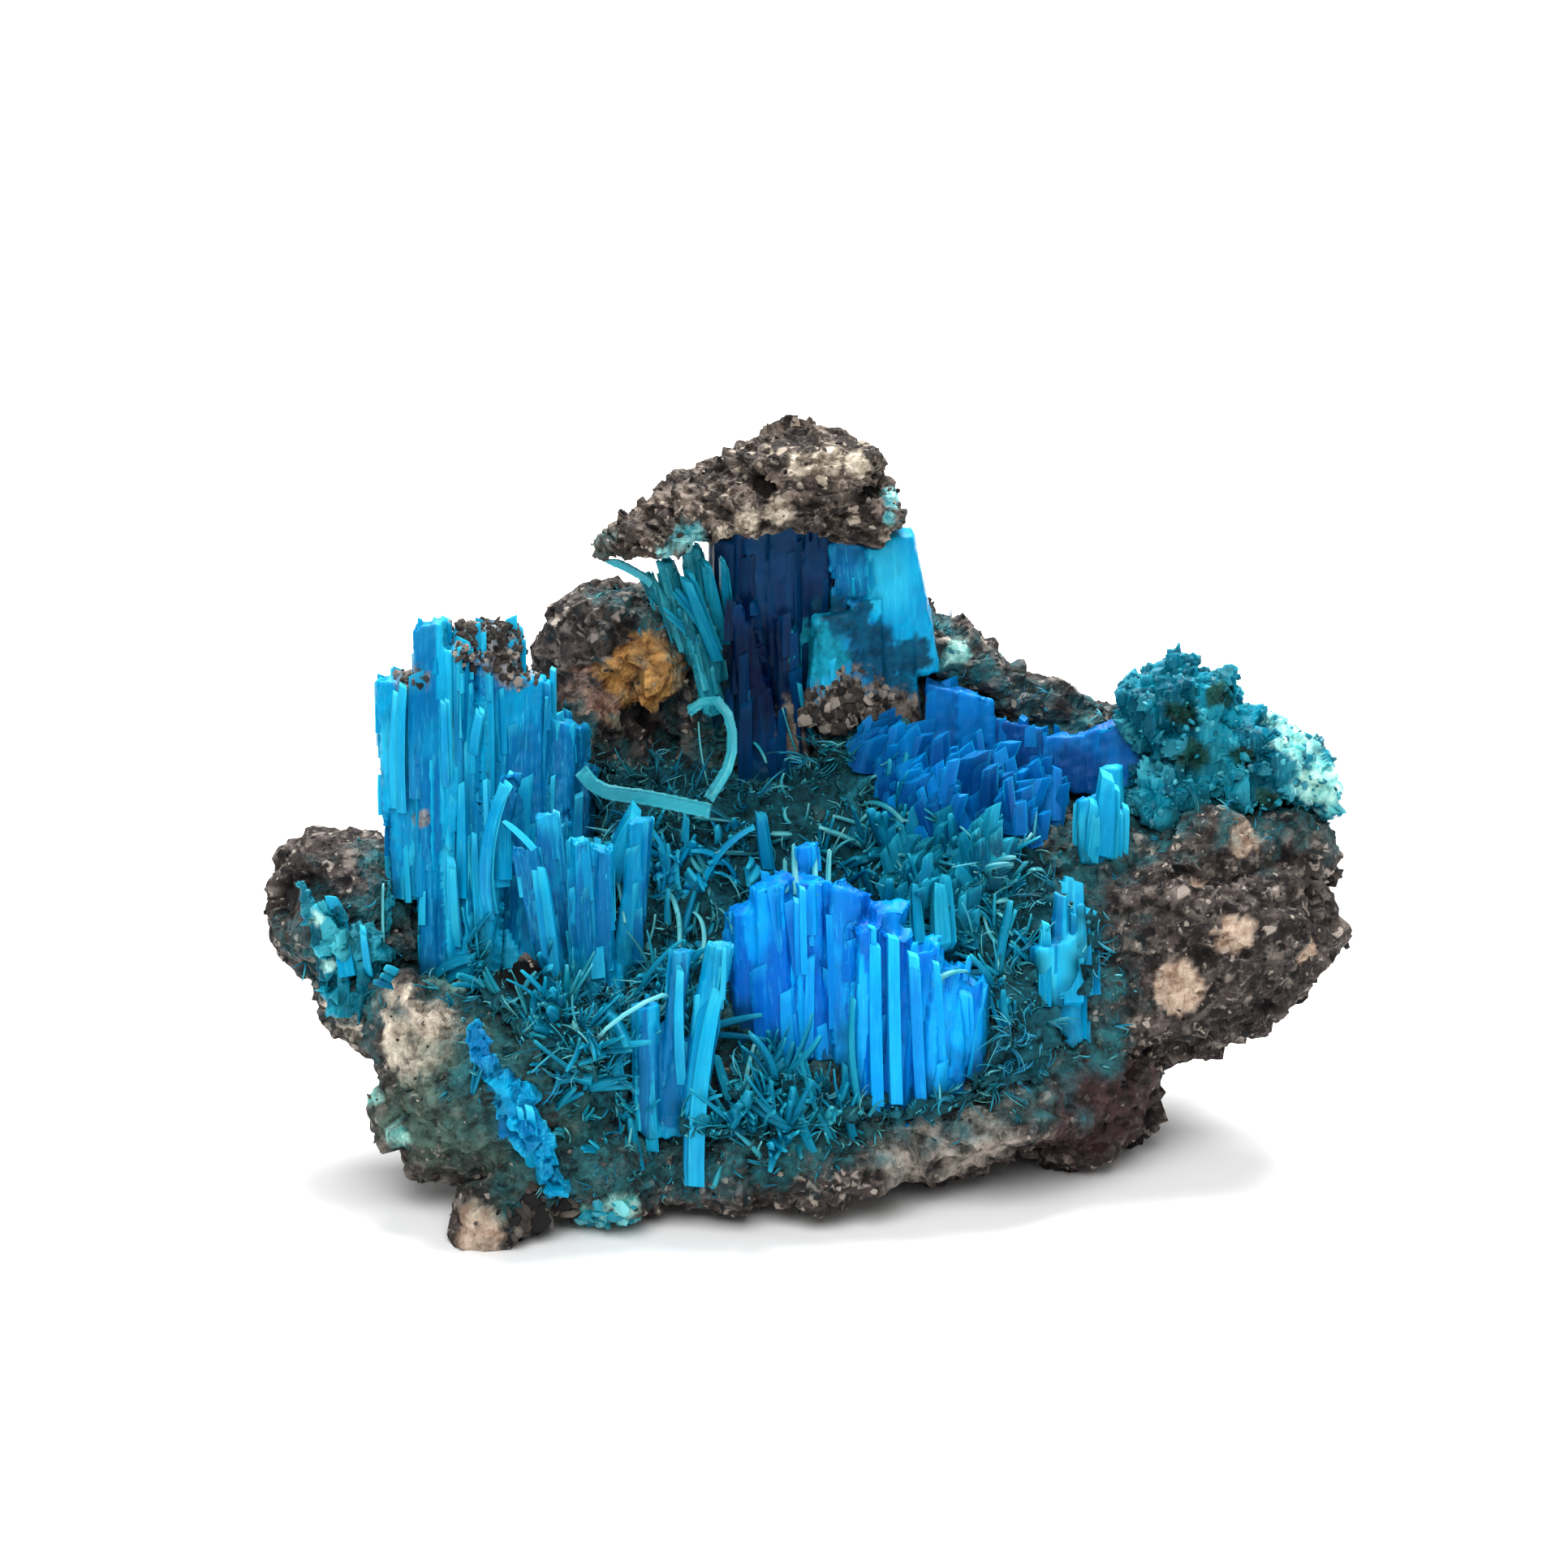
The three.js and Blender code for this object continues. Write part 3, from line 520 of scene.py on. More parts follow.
# Spots where the fibres are darker, partly their own deep blue and partly painted shade, and spots where they
# are brighter, partly their own colour and partly painted light.
DEEP_AND_SHADED_SPOTS = [(685, 950, 80), (655, 1060, 55), (985, 1230, 95), (1045, 1130, 60), (600, 830, 40),
              (845, 1330, 85), (940, 830, 90), (700, 1130, 60), (1060, 810, 60), (625, 1290, 50),
              (1230, 990, 60), (1320, 960, 50)]
BRIGHT_AND_LIT_SPOTS = [(548, 910, 45), (490, 920, 40), (1095, 1240, 70), (1130, 1300, 70),
                (1190, 1270, 40), (985, 1125, 30), (1085, 710, 60), (985, 670, 55),
                (560, 1080, 50), (1310, 1170, 60), (1365, 1000, 50), (430, 1150, 60)]
DIRT_SPOTS = [(602, 782, 52), (630, 812, 40), (508, 838, 24), (520, 1010, 14)]
ROCKY_SPOTS = [(1050, 885, 70), (1000, 890, 50), (1110, 880, 40)]
TEAL_SPOTS = [(1010, 805, 50)]
# Spots on the peak painted dark teal as shade.
PAINTED_SHADE_SPOTS = [(1088, 815, 46), (1050, 765, 34), (1122, 812, 34), (1100, 850, 44), (1024, 745, 24),
                (1072, 790, 36)]


class Grain:
    """The run of the fibres in one bundle: their middle, their direction and how fast they fan out."""

    def __init__(self, node, along, fan, width):
        low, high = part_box(node)
        self.middle = (Vector(low) + Vector(high)) / 2
        self.reach = (Vector(high) - Vector(low)).length / 2
        self.along = Vector(along).normalized()
        self.side = Vector((0, 1, 0)).cross(self.along).normalized()
        self.back = self.along.cross(self.side)
        self.fan = fan / MM
        self.width = width * MM

    def straight(self, point):
        """The point in the bundle's own frame, with the fan closed: side, back and run."""
        offset = point - self.middle
        run = offset.dot(self.along)
        closed = max(1 + self.fan * run, 0.3)
        return Vector((offset.dot(self.side) / closed, offset.dot(self.back), run))

    def squeezed(self, point):
        """The same with the run shortened, so that round cells become long fibres."""
        place = self.straight(point)
        place.z /= FIBRE_STRETCH
        return place

    def heading(self, point):
        """The way the fibres run at a point."""
        sideways = (point - self.middle).dot(self.side)
        return (self.along + self.side * (self.fan * sideways)).normalized()


def fibre_height(point, grain, split):
    place = grain.squeezed(point)
    wavy = place + 0.12 * grain.width * noise.noise_vector(grain.straight(point) / (3 * MM))
    return split * (facets(wavy, grain.width, 0.6, 0.3) + facets(wavy, grain.width * 0.4, 0.5, 0.2)
                    + 0.05 * grain.width * noise.noise(point / (0.5 * MM)))


def ragged_ends(piece, grain, depth):
    """Breaks each fibre off at a height of its own."""
    points, normals = skin_arrays(piece.data)
    facing = np.clip(normals @ np.array(grain.along), 0, 1) ** 2
    sides = [grain.straight(Vector(point)) for point in points]
    cells = [noise.voronoi(Vector((side.x, side.y, 0)) / grain.width)[1][0] for side in sides]
    cuts = np.array([0.5 + noise.noise(cell * 7.7) for cell in cells])
    move_skin(piece, points - np.outer(facing * cuts * depth, grain.along).astype(np.float32))


def surface_tree(piece):
    """A search tree of a piece's faces."""
    return BVHTree.FromObject(piece, bpy.context.evaluated_depsgraph_get())


ground_trees = [surface_tree(piece) for piece in (rock, crust)]


def foot_shade_of(point):
    """How much painted shade a bundle gets at its foot: 1 where it leaves the ground, fading to 0 a little
    way up.
    """
    near = [tree.find_nearest(point, FOOT_REACH)[3] for tree in ground_trees]
    distance = min([found for found in near if found is not None], default=FOOT_REACH)
    return unit_range(1 - distance / FOOT_REACH + 0.4 * noise.noise(point / (0.9 * MM)))


def add_grain(piece, grain):
    """Stores for the material where each point lies in its fibre, its shade with painted light and shade in
    it, its height, its stains and the painted shade on the peak.
    """
    mesh = piece.data
    points = [Vector(point) for point in skin_arrays(mesh)[0]]
    places = [grain.squeezed(point) for point in points]
    store(mesh, "grain", [place / MM for place in places])
    cells = [noise.voronoi(place / (grain.width * 1.6))[1][0] for place in places]
    # Each fibre's shade is random, lifted by painted light in the bright spots and lowered by painted shade
    # in the deep ones.
    store(mesh, "shade", [0.5 + noise.noise(cell * 4.3) + 0.45 * min(2 * photo_spot(point, BRIGHT_AND_LIT_SPOTS), 1)
                          - 0.7 * min(2 * photo_spot(point, DEEP_AND_SHADED_SPOTS), 1)
                          for cell, point in zip(cells, points)])
    store(mesh, "tip", [0.5 + place.z * FIBRE_STRETCH / (2 * grain.reach) for place in places])
    store(mesh, "foot", [foot_shade_of(point) for point in points])
    add_photo_masks(piece, dirt=DIRT_SPOTS, rocky=ROCKY_SPOTS, teal=TEAL_SPOTS, shaded=PAINTED_SHADE_SPOTS)


# Satin fibres of one blue: streaks along the grain, pale where the salt has dried, painted shade in the low
# grooves and at the feet, and painted highlight on the raised ridges.
satin, deep, blue, pale, dryness = grain_group("satin_fibre", "Deep", "Blue", "Pale", "Dryness")
grain_vector = add_node(satin, "ShaderNodeAttribute", {"attribute_name": "grain"}).outputs["Vector"]
streaks = noise_at(satin, grain_vector, 1.8, 5, 0.6)
threads = noise_at(satin, grain_vector, 7, 4, 0.6)
cloud = noise_at(satin, own_place(satin), 260, 4, 0.55)
relief = mask_of(satin, "relief")
depth = arithmetic(satin, "ADD", arithmetic(satin, "MULTIPLY", mask_of(satin, "shade"), 0.5),
                   arithmetic(satin, "MULTIPLY", streaks, 0.5))
colour = mix(satin, between(satin, depth, 0.3, 0.6), deep, blue)
colour = mix(satin, between(satin, cloud, 0.6, 0.4, 0, 0.35), colour, deep)
# Painted shade: deeper blue down in the low-lying grooves between the fibres.
colour = mix(satin, between(satin, relief, 0.42, 0.2, 0, 0.6), colour, deep)
# Pale where the salt has dried along threads and at the tips; the paleness on raised ridges is painted
# highlight, and in the brightest parts it is partly painted light.
dried_and_highlit = arithmetic(satin, "ADD", between(satin, threads, 0.55, 0.75, 0, 0.45),
                 between(satin, mask_of(satin, "tip"), 0.8, 1.0, 0, 0.3),
                 between(satin, relief, 0.6, 0.9, 0, 0.3), between(satin, depth, 0.6, 0.85, 0, 0.4))
colour = mix(satin, arithmetic(satin, "MULTIPLY", dried_and_highlit, dryness), colour, pale)
# Painted shade: each bundle darkens towards its foot, where it meets the ground.
colour = mix(satin, arithmetic(satin, "MULTIPLY", mask_of(satin, "foot"), 0.75), colour,
             (0.001, 0.035, 0.05))
height = arithmetic(satin, "ADD", threads, arithmetic(satin, "MULTIPLY", streaks, 0.8))
put_out(satin, colour, height, between(satin, threads, 0.35, 0.7, 0.28, 0.5))
SATIN_PATCHES = [("teal", (0.001, 0.1, 0.15), (0.004, 0.24, 0.35), 1),
                 # Painted shade on the peak.
                 ("shaded", (0, 0.02, 0.045), (0.001, 0.06, 0.12), 0.95),
                 ("rocky", (0.012, 0.01, 0.009), (0.2, 0.17, 0.14), 1),
                 ("dirt", (0.02, 0.03, 0.03), (0.3, 0.26, 0.22), 0.8)]


def satin_look(name, slot_name, deep, blue, pale, dryness, gloss=0.07):
    """A material of satin fibres, with dirt, rock, teal salt and painted shade where a piece has masks for
    them.
    """
    material, tree, principled = shader(
        name, IOR=1.53, Specular_IOR_Level=gloss, Subsurface_Weight=0.2, Subsurface_Scale=1.0 * MM,
        Subsurface_Radius=(0.25, 0.7, 1.0))
    colour = grained(tree, principled, satin, [deep, blue, pale], dryness, 0.7, 0.05)
    tree.links.new(patched(tree, colour, 1100, SATIN_PATCHES), principled.inputs["Base Color"])
    return material, slot_name


azure = satin_look("azure_satin", "azure_crystal", (0, 0.12, 0.31), (0, 0.29, 0.53), (0.04, 0.55, 0.7), 1.0)
bright = satin_look("bright_azure_satin", "azure_crystal", (0, 0.11, 0.48), (0, 0.31, 0.78),
                    (0.02, 0.54, 0.92), 0.9)
cobalt = satin_look("cobalt_glass", "cobalt_crystal", (0, 0.045, 0.19), (0, 0.14, 0.44),
                    (0.005, 0.32, 0.58), 0.4)
# Painted shade: the columns' near-black navy is partly their own deep blue and partly the shade of the hollow
# they stand in.
navy_and_shaded = satin_look("navy_glass", "navy_crystal", (0, 0.004, 0.026), (0, 0.03, 0.11), (0, 0.12, 0.25), 0.3)
turquoise = satin_look("turquoise_satin", "turquoise_crystal", (0, 0.07, 0.105), (0.002, 0.22, 0.31),
                       (0.09, 0.5, 0.57), 1.0)
teal = satin_look("teal_satin", "turquoise_crystal", (0, 0.055, 0.11), (0, 0.16, 0.29), (0.02, 0.38, 0.5),
                  1.0)
pale_teal = satin_look("pale_turquoise_satin", "turquoise_crystal", (0.002, 0.14, 0.19), (0.02, 0.34, 0.42),
                       (0.24, 0.66, 0.66), 1.0, 0.25)


def skin_samples(mesh, count, draw):
    """Points spread evenly over a skin, and the normals there."""
    mesh.calc_loop_triangles()
    corners = np.empty(3 * len(mesh.loop_triangles), np.int32)
    mesh.loop_triangles.foreach_get("vertices", corners)
    points, _ = skin_arrays(mesh)
    a, b, c = (points[corners[k::3]] for k in range(3))
    cross = np.cross(b - a, c - a)
    area = np.linalg.norm(cross, axis=1)
    chosen = draw.choice(len(area), count, p=area / area.sum())
    u, v = draw.random((2, count, 1))
    folded = u + v > 1
    u, v = np.where(folded, 1 - u, u), np.where(folded, 1 - v, v)
    places = a[chosen] * (1 - u - v) + b[chosen] * u + c[chosen] * v
    return places, cross[chosen] / np.maximum(area[chosen, None], 1e-20)


def template(shape):
    """A bmesh's points and triangles as arrays."""
    bmesh.ops.triangulate(shape, faces=shape.faces)
    shape.verts.index_update()
    points = np.array([vertex.co for vertex in shape.verts])
    triangles = np.array([[vertex.index for vertex in face.verts] for face in shape.faces])
    shape.free()
    return points, triangles


def fibre_template(sides, segments):
    """One straight fibre of unit length and radius."""
    shape = bmesh.new()
    bmesh.ops.create_cone(shape, segments=sides, radius1=1, radius2=1, depth=1, cap_ends=True)
    bmesh.ops.translate(shape, verts=shape.verts, vec=(0, 0, 0.5))
    for k in range(1, segments):
        bmesh.ops.bisect_plane(shape, geom=shape.verts[:] + shape.edges[:] + shape.faces[:],
                               plane_co=(0, 0, k / segments), plane_no=(0, 0, 1))
    return template(shape)


def joined(name, copies, triangles, look, smooth):
    """One piece made of many copies of a template, given as the copies' points."""
    copies[:, :, 2] = np.maximum(copies[:, :, 2], 0)
    faces = triangles[None] + copies.shape[1] * np.arange(len(copies))[:, None, None]
    mesh = bpy.data.meshes.new(name)
    mesh.from_pydata(copies.reshape(-1, 3), [], faces.reshape(-1, 3))
    if smooth:
        mesh.shade_smooth()
    material, slot_name = look
    mesh.materials.append(material)
    piece = placed(name, mesh)
    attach(piece, "root")
    return piece


def unit(rows):
    """Each row as a direction of length 1."""
    return rows / np.maximum(np.linalg.norm(rows, axis=1, keepdims=True), 1e-12)


def sizes_between(span, draw, shape, power=2):
    """Sizes drawn from a span in mm, the small ones commoner."""
    return (span[0] + (span[1] - span[0]) * draw.random(shape) ** power) * MM


def grow(name, shape, look, roots, ways, curl_ways, lengths, widths, curls, draw,
         flat=1.0, taper=0.8, slant=0.0, smooth=True, lightest=0.0):
    """Many copies of one fibre as a single piece: each starts at its root and bends in an arc of its own."""
    points, triangles = shape
    count = len(roots)
    lengths, widths, curls = (values[:, None] for values in (lengths, widths, curls))
    ways = unit(ways)
    bends = unit(curl_ways - ways * np.sum(curl_ways * ways, axis=1, keepdims=True))
    wide = np.cross(ways, bends)
    run = points[None, :, 2]
    arc = np.where(np.abs(curls) < LEAST_CURL, LEAST_CURL, curls)
    forward = lengths * np.sin(arc * run) / arc + slant * widths * points[None, :, 0] * (run > TIP_START)
    sideways = lengths * (1 - np.cos(arc * run)) / arc
    thin = 1 - taper * run ** 3
    across = widths * thin * points[None, :, 0]
    through = widths * thin * points[None, :, 1] * flat
    turn = (curls * run)[:, :, None]
    outward = bends[:, None, :] * np.cos(turn) - ways[:, None, :] * np.sin(turn)
    copies = (roots[:, None, :] + ways[:, None, :] * forward[:, :, None]
              + bends[:, None, :] * sideways[:, :, None] + wide[:, None, :] * across[:, :, None]
              - outward * through[:, :, None])
    piece = joined(name, copies, triangles, look, smooth)
    seeds = draw.random((count, 1)) * 100
    grains = np.stack([seeds + across / MM, seeds + through / MM, lengths / MM * run / FIBRE_STRETCH], axis=2)
    store(piece.data, "grain", grains.reshape(-1, 3))
    store(piece.data, "shade", np.repeat(draw.uniform(lightest, 1, count), len(points)))
    store(piece.data, "tip", np.tile(points[:, 2], count))
    store(piece.data, "relief", np.repeat(draw.uniform(0.45, 0.75, count), len(points)))
    return piece


BLADE = fibre_template(4, 2)


def reach_along(tree, place, way, inward, wanted):
    """How far a blade can run from a place along its bundle with the bundle still behind it."""
    reached = 0
    for step in np.linspace(0.1, 1, 12) * wanted:
        if tree.ray_cast(place + way * step - inward * STRAY, inward, 2 * STRAY)[0] is None:
            break
        reached = step
    return reached


def splinters(name, piece, grain, look, count, lengths, widths, seed):
    """Split blades that lie along a bundle, half sunk in it, with their tips at different heights."""
    draw = np.random.default_rng(seed)
    places, normals = skin_samples(piece.data, count, draw)
    upright = np.abs(normals @ np.array(grain.along)) < 0.7
    places, normals = places[upright], normals[upright]
    count = len(places)
    ways = np.array([grain.heading(Vector(place)) for place in places])
    ways = unit(ways + 0.02 * draw.standard_normal((count, 3)))
    long = sizes_between(lengths, draw, count, 1.5)
    broad = sizes_between(widths, draw, count)
    tree = surface_tree(piece)
    centres = places - normals * broad[:, None] * 0.35
    up, down = (np.array([reach_along(tree, Vector(centre), sign * Vector(way), -Vector(normal), wanted / 2)
                          for centre, way, normal, wanted in zip(centres, ways, normals, long)])
                for sign in (1, -1))
    outward = normals + 0.3 * draw.standard_normal((count, 3))
    return grow(name, BLADE, look, centres - ways * down[:, None], ways, outward,
                np.maximum(up + down, SHORTEST), broad, 0.04 * draw.standard_normal(count), draw, flat=0.55,
                taper=0.2, slant=0.35, smooth=False)


# Each row: the node, the fibres' way, their fan per mm and width in mm, how deep they split, how
# ragged their ends are in mm, the look, and the splinters' count, lengths and widths in mm.
BUNDLES = [
    ("column_crystals", (0, 0.03, 1), 0, 1.3, 0.7, 0.5, navy_and_shaded, 70, (2, 7), (0.3, 0.8)),
    ("peak_crystals", (-0.06, 0.1, 1), 0, 2.8, 0.4, 0.3, azure, 8, (1, 2.5), (0.3, 0.7)),
    ("fan_crystals", (-0.25, 0, 1), 0.06, 0.7, 1, 0.8, turquoise, 110, (1, 5), (0.12, 0.35)),
    ("vein_crystals", (0.02, 0.33, 1), 0, 2.2, 0.5, 0.5, cobalt, 40, (1, 2.6), (0.4, 1)),
    ("left_tower_crystals", (0, 0.3, 1), 0.004, 1.4, 0.9, 0.9, azure, 200, (1.5, 8), (0.25, 0.75)),
    ("mid_left_crystals", (-0.05, 0.07, 1), 0.03, 0.9, 0.8, 0.6, azure, 40, (2, 7), (0.2, 0.5)),
    ("right_high_crystal", (-0.02, 0.2, 1), 0, 1.1, 0.4, 0.1, azure, 3, (2, 4), (0.3, 0.5)),
    ("right_low_crystal", (0, 0.12, 1), 0, 1.4, 0.3, 0.1, azure, 3, (2, 5), (0.3, 0.5)),
    ("front_block_crystals", (0.02, 0.15, 1), 0.02, 1.3, 0.8, 0.5, bright, 110, (2, 10), (0.25, 0.75)),
    ("front_left_crystals", (0.05, 0.06, 1), 0.02, 1, 0.7, 0.8, azure, 20, (3, 9), (0.25, 0.5)),
]
bundles = []
for seed, row in enumerate(BUNDLES):
    node_name, along, fan, width, split, ragged, look, count, lengths, widths = row
    grain = Grain(node_name, along, fan, width)
    bundle = skin_of(node_name, node_name + "_satin", FIBRE_GRID)
    ragged_ends(bundle, grain, ragged * MM)
    push_out(bundle, lambda p: fibre_height(p, grain, split), 0.5 * grain.width * split)
    add_grain(bundle, grain)
    dress(bundle, look, node_name)
    splits = splinters(node_name + "_splinters", bundle, grain, look, count, lengths, widths, seed)
    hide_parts(node_name)
    bundles.append(bundle)

# Crumbly salt
# The right-hand end of the vein, the left edge and the streak on the lobe, where the salt has dried
# to crumbly turquoise masses.
CRUMB_GRID = 0.18 * MM
CREST_MINT_SPOTS = [(1628, 965, 40), (1600, 905, 34), (1575, 880, 22), (392, 1130, 12),
                    (405, 1190, 10), (670, 1428, 16)]
# Spots where the shade in the crest's pits is painted.
CREST_PIT_SHADE_SPOTS = [(1500, 855, 22), (1455, 880, 24), (1470, 930, 26), (1530, 930, 18),
                   (1560, 985, 20)]
dried = satin_look("dried_turquoise", "turquoise_crystal", (0, 0.06, 0.1), (0.001, 0.19, 0.28),
                   (0.07, 0.46, 0.52), 1.0)
tree = dried[0].node_tree
colour_socket = tree.nodes["Principled BSDF"].inputs["Base Color"]
tree.links.new(patched(tree, colour_socket.links[0].from_socket, PATCH_SCALE, [
    # Painted shade: near black in the crest's pits.
    ("pit", (0.001, 0.01, 0.008), (0.01, 0.07, 0.06), 1),
    ("mint", (0.08, 0.42, 0.42), (0.5, 0.78, 0.7), 1)]), colour_socket)

# Each row: the node, the look, the size of the crumbs and how far they are sunk.
for node_name, look, crumb, sink in (
    ("crest_crystals", dried, 1.7 * MM, 0),
    ("left_edge_crystals", dried, 1.3 * MM, 0.1 * MM),
    ("lobe_crystals", azure, 1.2 * MM, 0.25 * MM),
):
    crumbly = skin_of(node_name, node_name + "_crumbly", CRUMB_GRID, smooth=False)
    push_out(crumbly, lambda p: facets(p, crumb, 0.7, 0.4) + facets(p, 0.45 * crumb, 0.6, 0.4) - sink,
             0.45 * crumb)
    add_grain(crumbly, Grain(node_name, (0.05, 0.1, 1), 0, 1.2))
    add_photo_masks(crumbly, mint=CREST_MINT_SPOTS, pit=CREST_PIT_SHADE_SPOTS)
    dress(crumbly, look, node_name)
    bundles.append(crumbly)

# Felt
# Fine curled salt fibres in small tufts line the hollow, and have crept over the rock beside the
# crystals. Wider shavings curl over them, and short stiff blades stand between.
CLEARING, SIGHT_START, ROOTED = 0.35 * MM, 1 * MM, 0.15 * MM
BLOCK_FACE = [(965, 1195, 75), (940, 1250, 50), (1100, 1250, 90), (1180, 1280, 50),
              (1308, 1160, 60), (1365, 1000, 40)]
SHAVING_SPOTS = [(835, 1090, 110), (1130, 1040, 130), (930, 1050, 80), (735, 1240, 60),
                 (1230, 1100, 70), (1000, 1010, 90)]
WEB_SPOTS = [(825, 1075, 56), (900, 1060, 40), (775, 1060, 30)]
TUFT_SPOTS = [(975, 1360, 110), (740, 1290, 90), (1180, 1130, 110), (640, 1340, 80),
              (455, 1170, 60), (820, 1230, 80), (1080, 1060, 90), (870, 1400, 80),
              (1240, 1200, 80), (560, 1180, 70), (740, 1400, 80), (680, 1250, 50)]
VEIN_FOOT_SPOTS = [(1160, 985, 85), (1105, 950, 50), (1250, 985, 75)]
TEAL_BLOCK_SPOTS = [(1150, 1140, 62), (1135, 1070, 45), (1210, 1075, 34)]

def toned(tree, low, high, dark, middle, light):
    """A colour that runs through three tones with the shade of each fibre or grain."""
    shade = mask_of(tree, "shade")
    colour = mix(tree, between(tree, shade, low, 0.6), dark, middle)
    return mix(tree, between(tree, shade, high, 1.0), colour, light)


felt_material, tree, principled = shader("salt_felt", IOR=1.5, Roughness=0.5, Specular_IOR_Level=0.2)
felt = felt_material, "green_crust"
cloud = noise_at(tree, own_place(tree), 300, 3)
colour = toned(tree, 0, 0.7, (0.001, 0.035, 0.05), (0.003, 0.21, 0.3), (0.14, 0.56, 0.58))
# Painted shade: each fibre darkens towards its root, down in the felt.
colour = mix(tree, between(tree, mask_of(tree, "tip"), 0.5, 0.0, 0, 0.7), colour, (0.001, 0.012, 0.015))
colour = mix(tree, between(tree, cloud, 0.5, 0.62, 0, 0.7), colour, (0.001, 0.17, 0.32))
colour = mix(tree, between(tree, cloud, 0.46, 0.34, 0, 0.6), colour, (0.012, 0.05, 0.03))
tree.links.new(colour, principled.inputs["Base Color"])

bundled = point_tree(np.concatenate([skin_arrays(bundle.data)[0] for bundle in bundles]))
stained = point_tree(rock_points)


def in_sight(place):
    """Whether no rock stands between a place and the camera."""
    return ground_trees[0].ray_cast(place + towards_camera * SIGHT_START, towards_camera)[0] is None


def sprout(name, skins, shape, look, seed, count, members, weight_at, lengths, widths, curls, wild,
           upward, facing=(0, 0, 0), **form):
    """Tufts of like fibres on the skins' open side, clear of the bundles, turned one way if asked."""
    draw = np.random.default_rng(seed)
    samples = [skin_samples(skin.data, count, draw) for skin in skins]
    places, normals = (np.concatenate([sample[k] for sample in samples]) for k in range(2))
    kept = np.array([normal[1] < 0.4 and bundled.find(place)[2] > CLEARING
                     and draw.random() < weight_at(Vector(place)) - photo_mask(Vector(place), BLOCK_FACE)
                     and in_sight(Vector(place)) for place, normal in zip(places, normals)])
    places, normals = places[kept], normals[kept]
    count = len(places)
    ways = unit(normals + wild * draw.standard_normal((count, 3)) + np.array(upward))
    over = draw.standard_normal((count, 3)) + np.array(facing)
    long = sizes_between(lengths, draw, count)
    broad = sizes_between(widths, draw, count)
    bent = draw.uniform(*curls, count) * draw.choice([-1, 1], count)
    tuft = np.repeat(np.arange(count), members)
    total = len(tuft)
    spread = draw.standard_normal((3, total, 3))
    roots = places[tuft] - normals[tuft] * ROOTED + spread[0] * 0.5 * broad[tuft, None]
    return grow(name, shape, look, roots, ways[tuft] + 0.16 * spread[1], over[tuft] + 0.25 * spread[2],
                long[tuft] * draw.uniform(0.5, 1.1, total), broad[tuft] * draw.uniform(0.7, 1.3, total),
                bent[tuft] * draw.uniform(0.7, 1.3, total), draw, **form)


def patchy(point):
    """How thick the felt is here: full in most places, bare in some."""
    return 0.75 + 1.3 * noise.noise(point / (1.7 * MM)) - 3 * photo_spot(point, HOLE_SHADE_SPOTS)


FELT_FIBRE = fibre_template(3, 5)
SHAVING = fibre_template(4, 9)
for part in range(2):
    sprout(f"hollow_felt_{part + 1}", [crust], FELT_FIBRE, felt, 40 + part, 2300, 3, patchy, (0.6, 3),
           (0.04, 0.13), (0.4, 3.6), 0.9, (0, -0.1, 0.1), flat=0.6)
sprout("rock_felt", [rock], FELT_FIBRE, felt, 50, 14000, 2,
       lambda p: 1.3 * rock_stain[stained.find(p)[1]] - 0.4, (0.4, 1.8), (0.04, 0.1), (0.5, 3.2), 0.9,
       (0, -0.1, 0.1), flat=0.6)
# Each row: the name, the fibre, the look, the seed, how many places are tried, the fibres in a tuft, how
# thickly they stand, the spots, lengths and widths in mm, bends in radians, how wild, which way up, form.
for name, shape, look, seed, count, members, thick, spots, *run, form in (
    ("curled_shavings", SHAVING, pale_teal, 70, 460, 2, 1.6, SHAVING_SPOTS, (1.6, 5), (0.1, 0.26), (1, 4.6),
     0.8, (0, 0, 0.2), {"flat": 0.35, "taper": 0.5}),
    ("azure_webs", SHAVING, azure, 71, 2200, 3, 2, WEB_SPOTS, (1.2, 3.4), (0.2, 0.5), (0.3, 2), 0.5,
     (0, 0, 0.7), {"flat": 0.45, "taper": 0.5, "lightest": 0.4}),
    ("blade_tufts", SHAVING, turquoise, 72, 1300, 3, 1.6, TUFT_SPOTS, (0.8, 3.6), (0.07, 0.24), (0.1, 1.2),
     0.5, (0, 0, 0.8), {"flat": 0.5, "taper": 0.6}),
    ("teal_tufts", SHAVING, teal, 75, 1100, 3, 1.6, TUFT_SPOTS, (1.2, 4.2), (0.12, 0.38), (0.1, 1), 0.4,
     (0, 0, 1.1), {"flat": 0.5, "taper": 0.5, "lightest": 0.3}),
    ("vein_foot_blocks", BLADE, cobalt, 73, 9000, 1, 2, VEIN_FOOT_SPOTS, (2, 3.4), (0.35, 0.85), (0, 0.05),
     0.04, (0, 1.2, 4), {"facing": (0, -9, 0), "flat": 0.6, "taper": 0.15, "slant": 0.45, "smooth": False}),
    ("teal_blocks", BLADE, teal, 74, 7000, 1, 2, TEAL_BLOCK_SPOTS, (1.6, 3.6), (0.3, 0.7), (0, 0.1), 0.06,
     (0, 0.8, 4), {"facing": (0, -6, 0), "flat": 0.6, "taper": 0.2, "slant": 0.6, "smooth": False}),
):
    sprout(name, [crust, rock], shape, look, seed, count, members, lambda p: thick * photo_spot(p, spots),
           *run, **form)

# Drawn blades
# The blades and curls that stand out in the photograph, each from its root's pixel to its tip's.
# A root sits on whatever it shows there; the tip stands off a little.
ROOT_DEPTH, TIP_LIFT, LEAN = 0.1 * MM, 1.2 * MM, 2.6 * MM
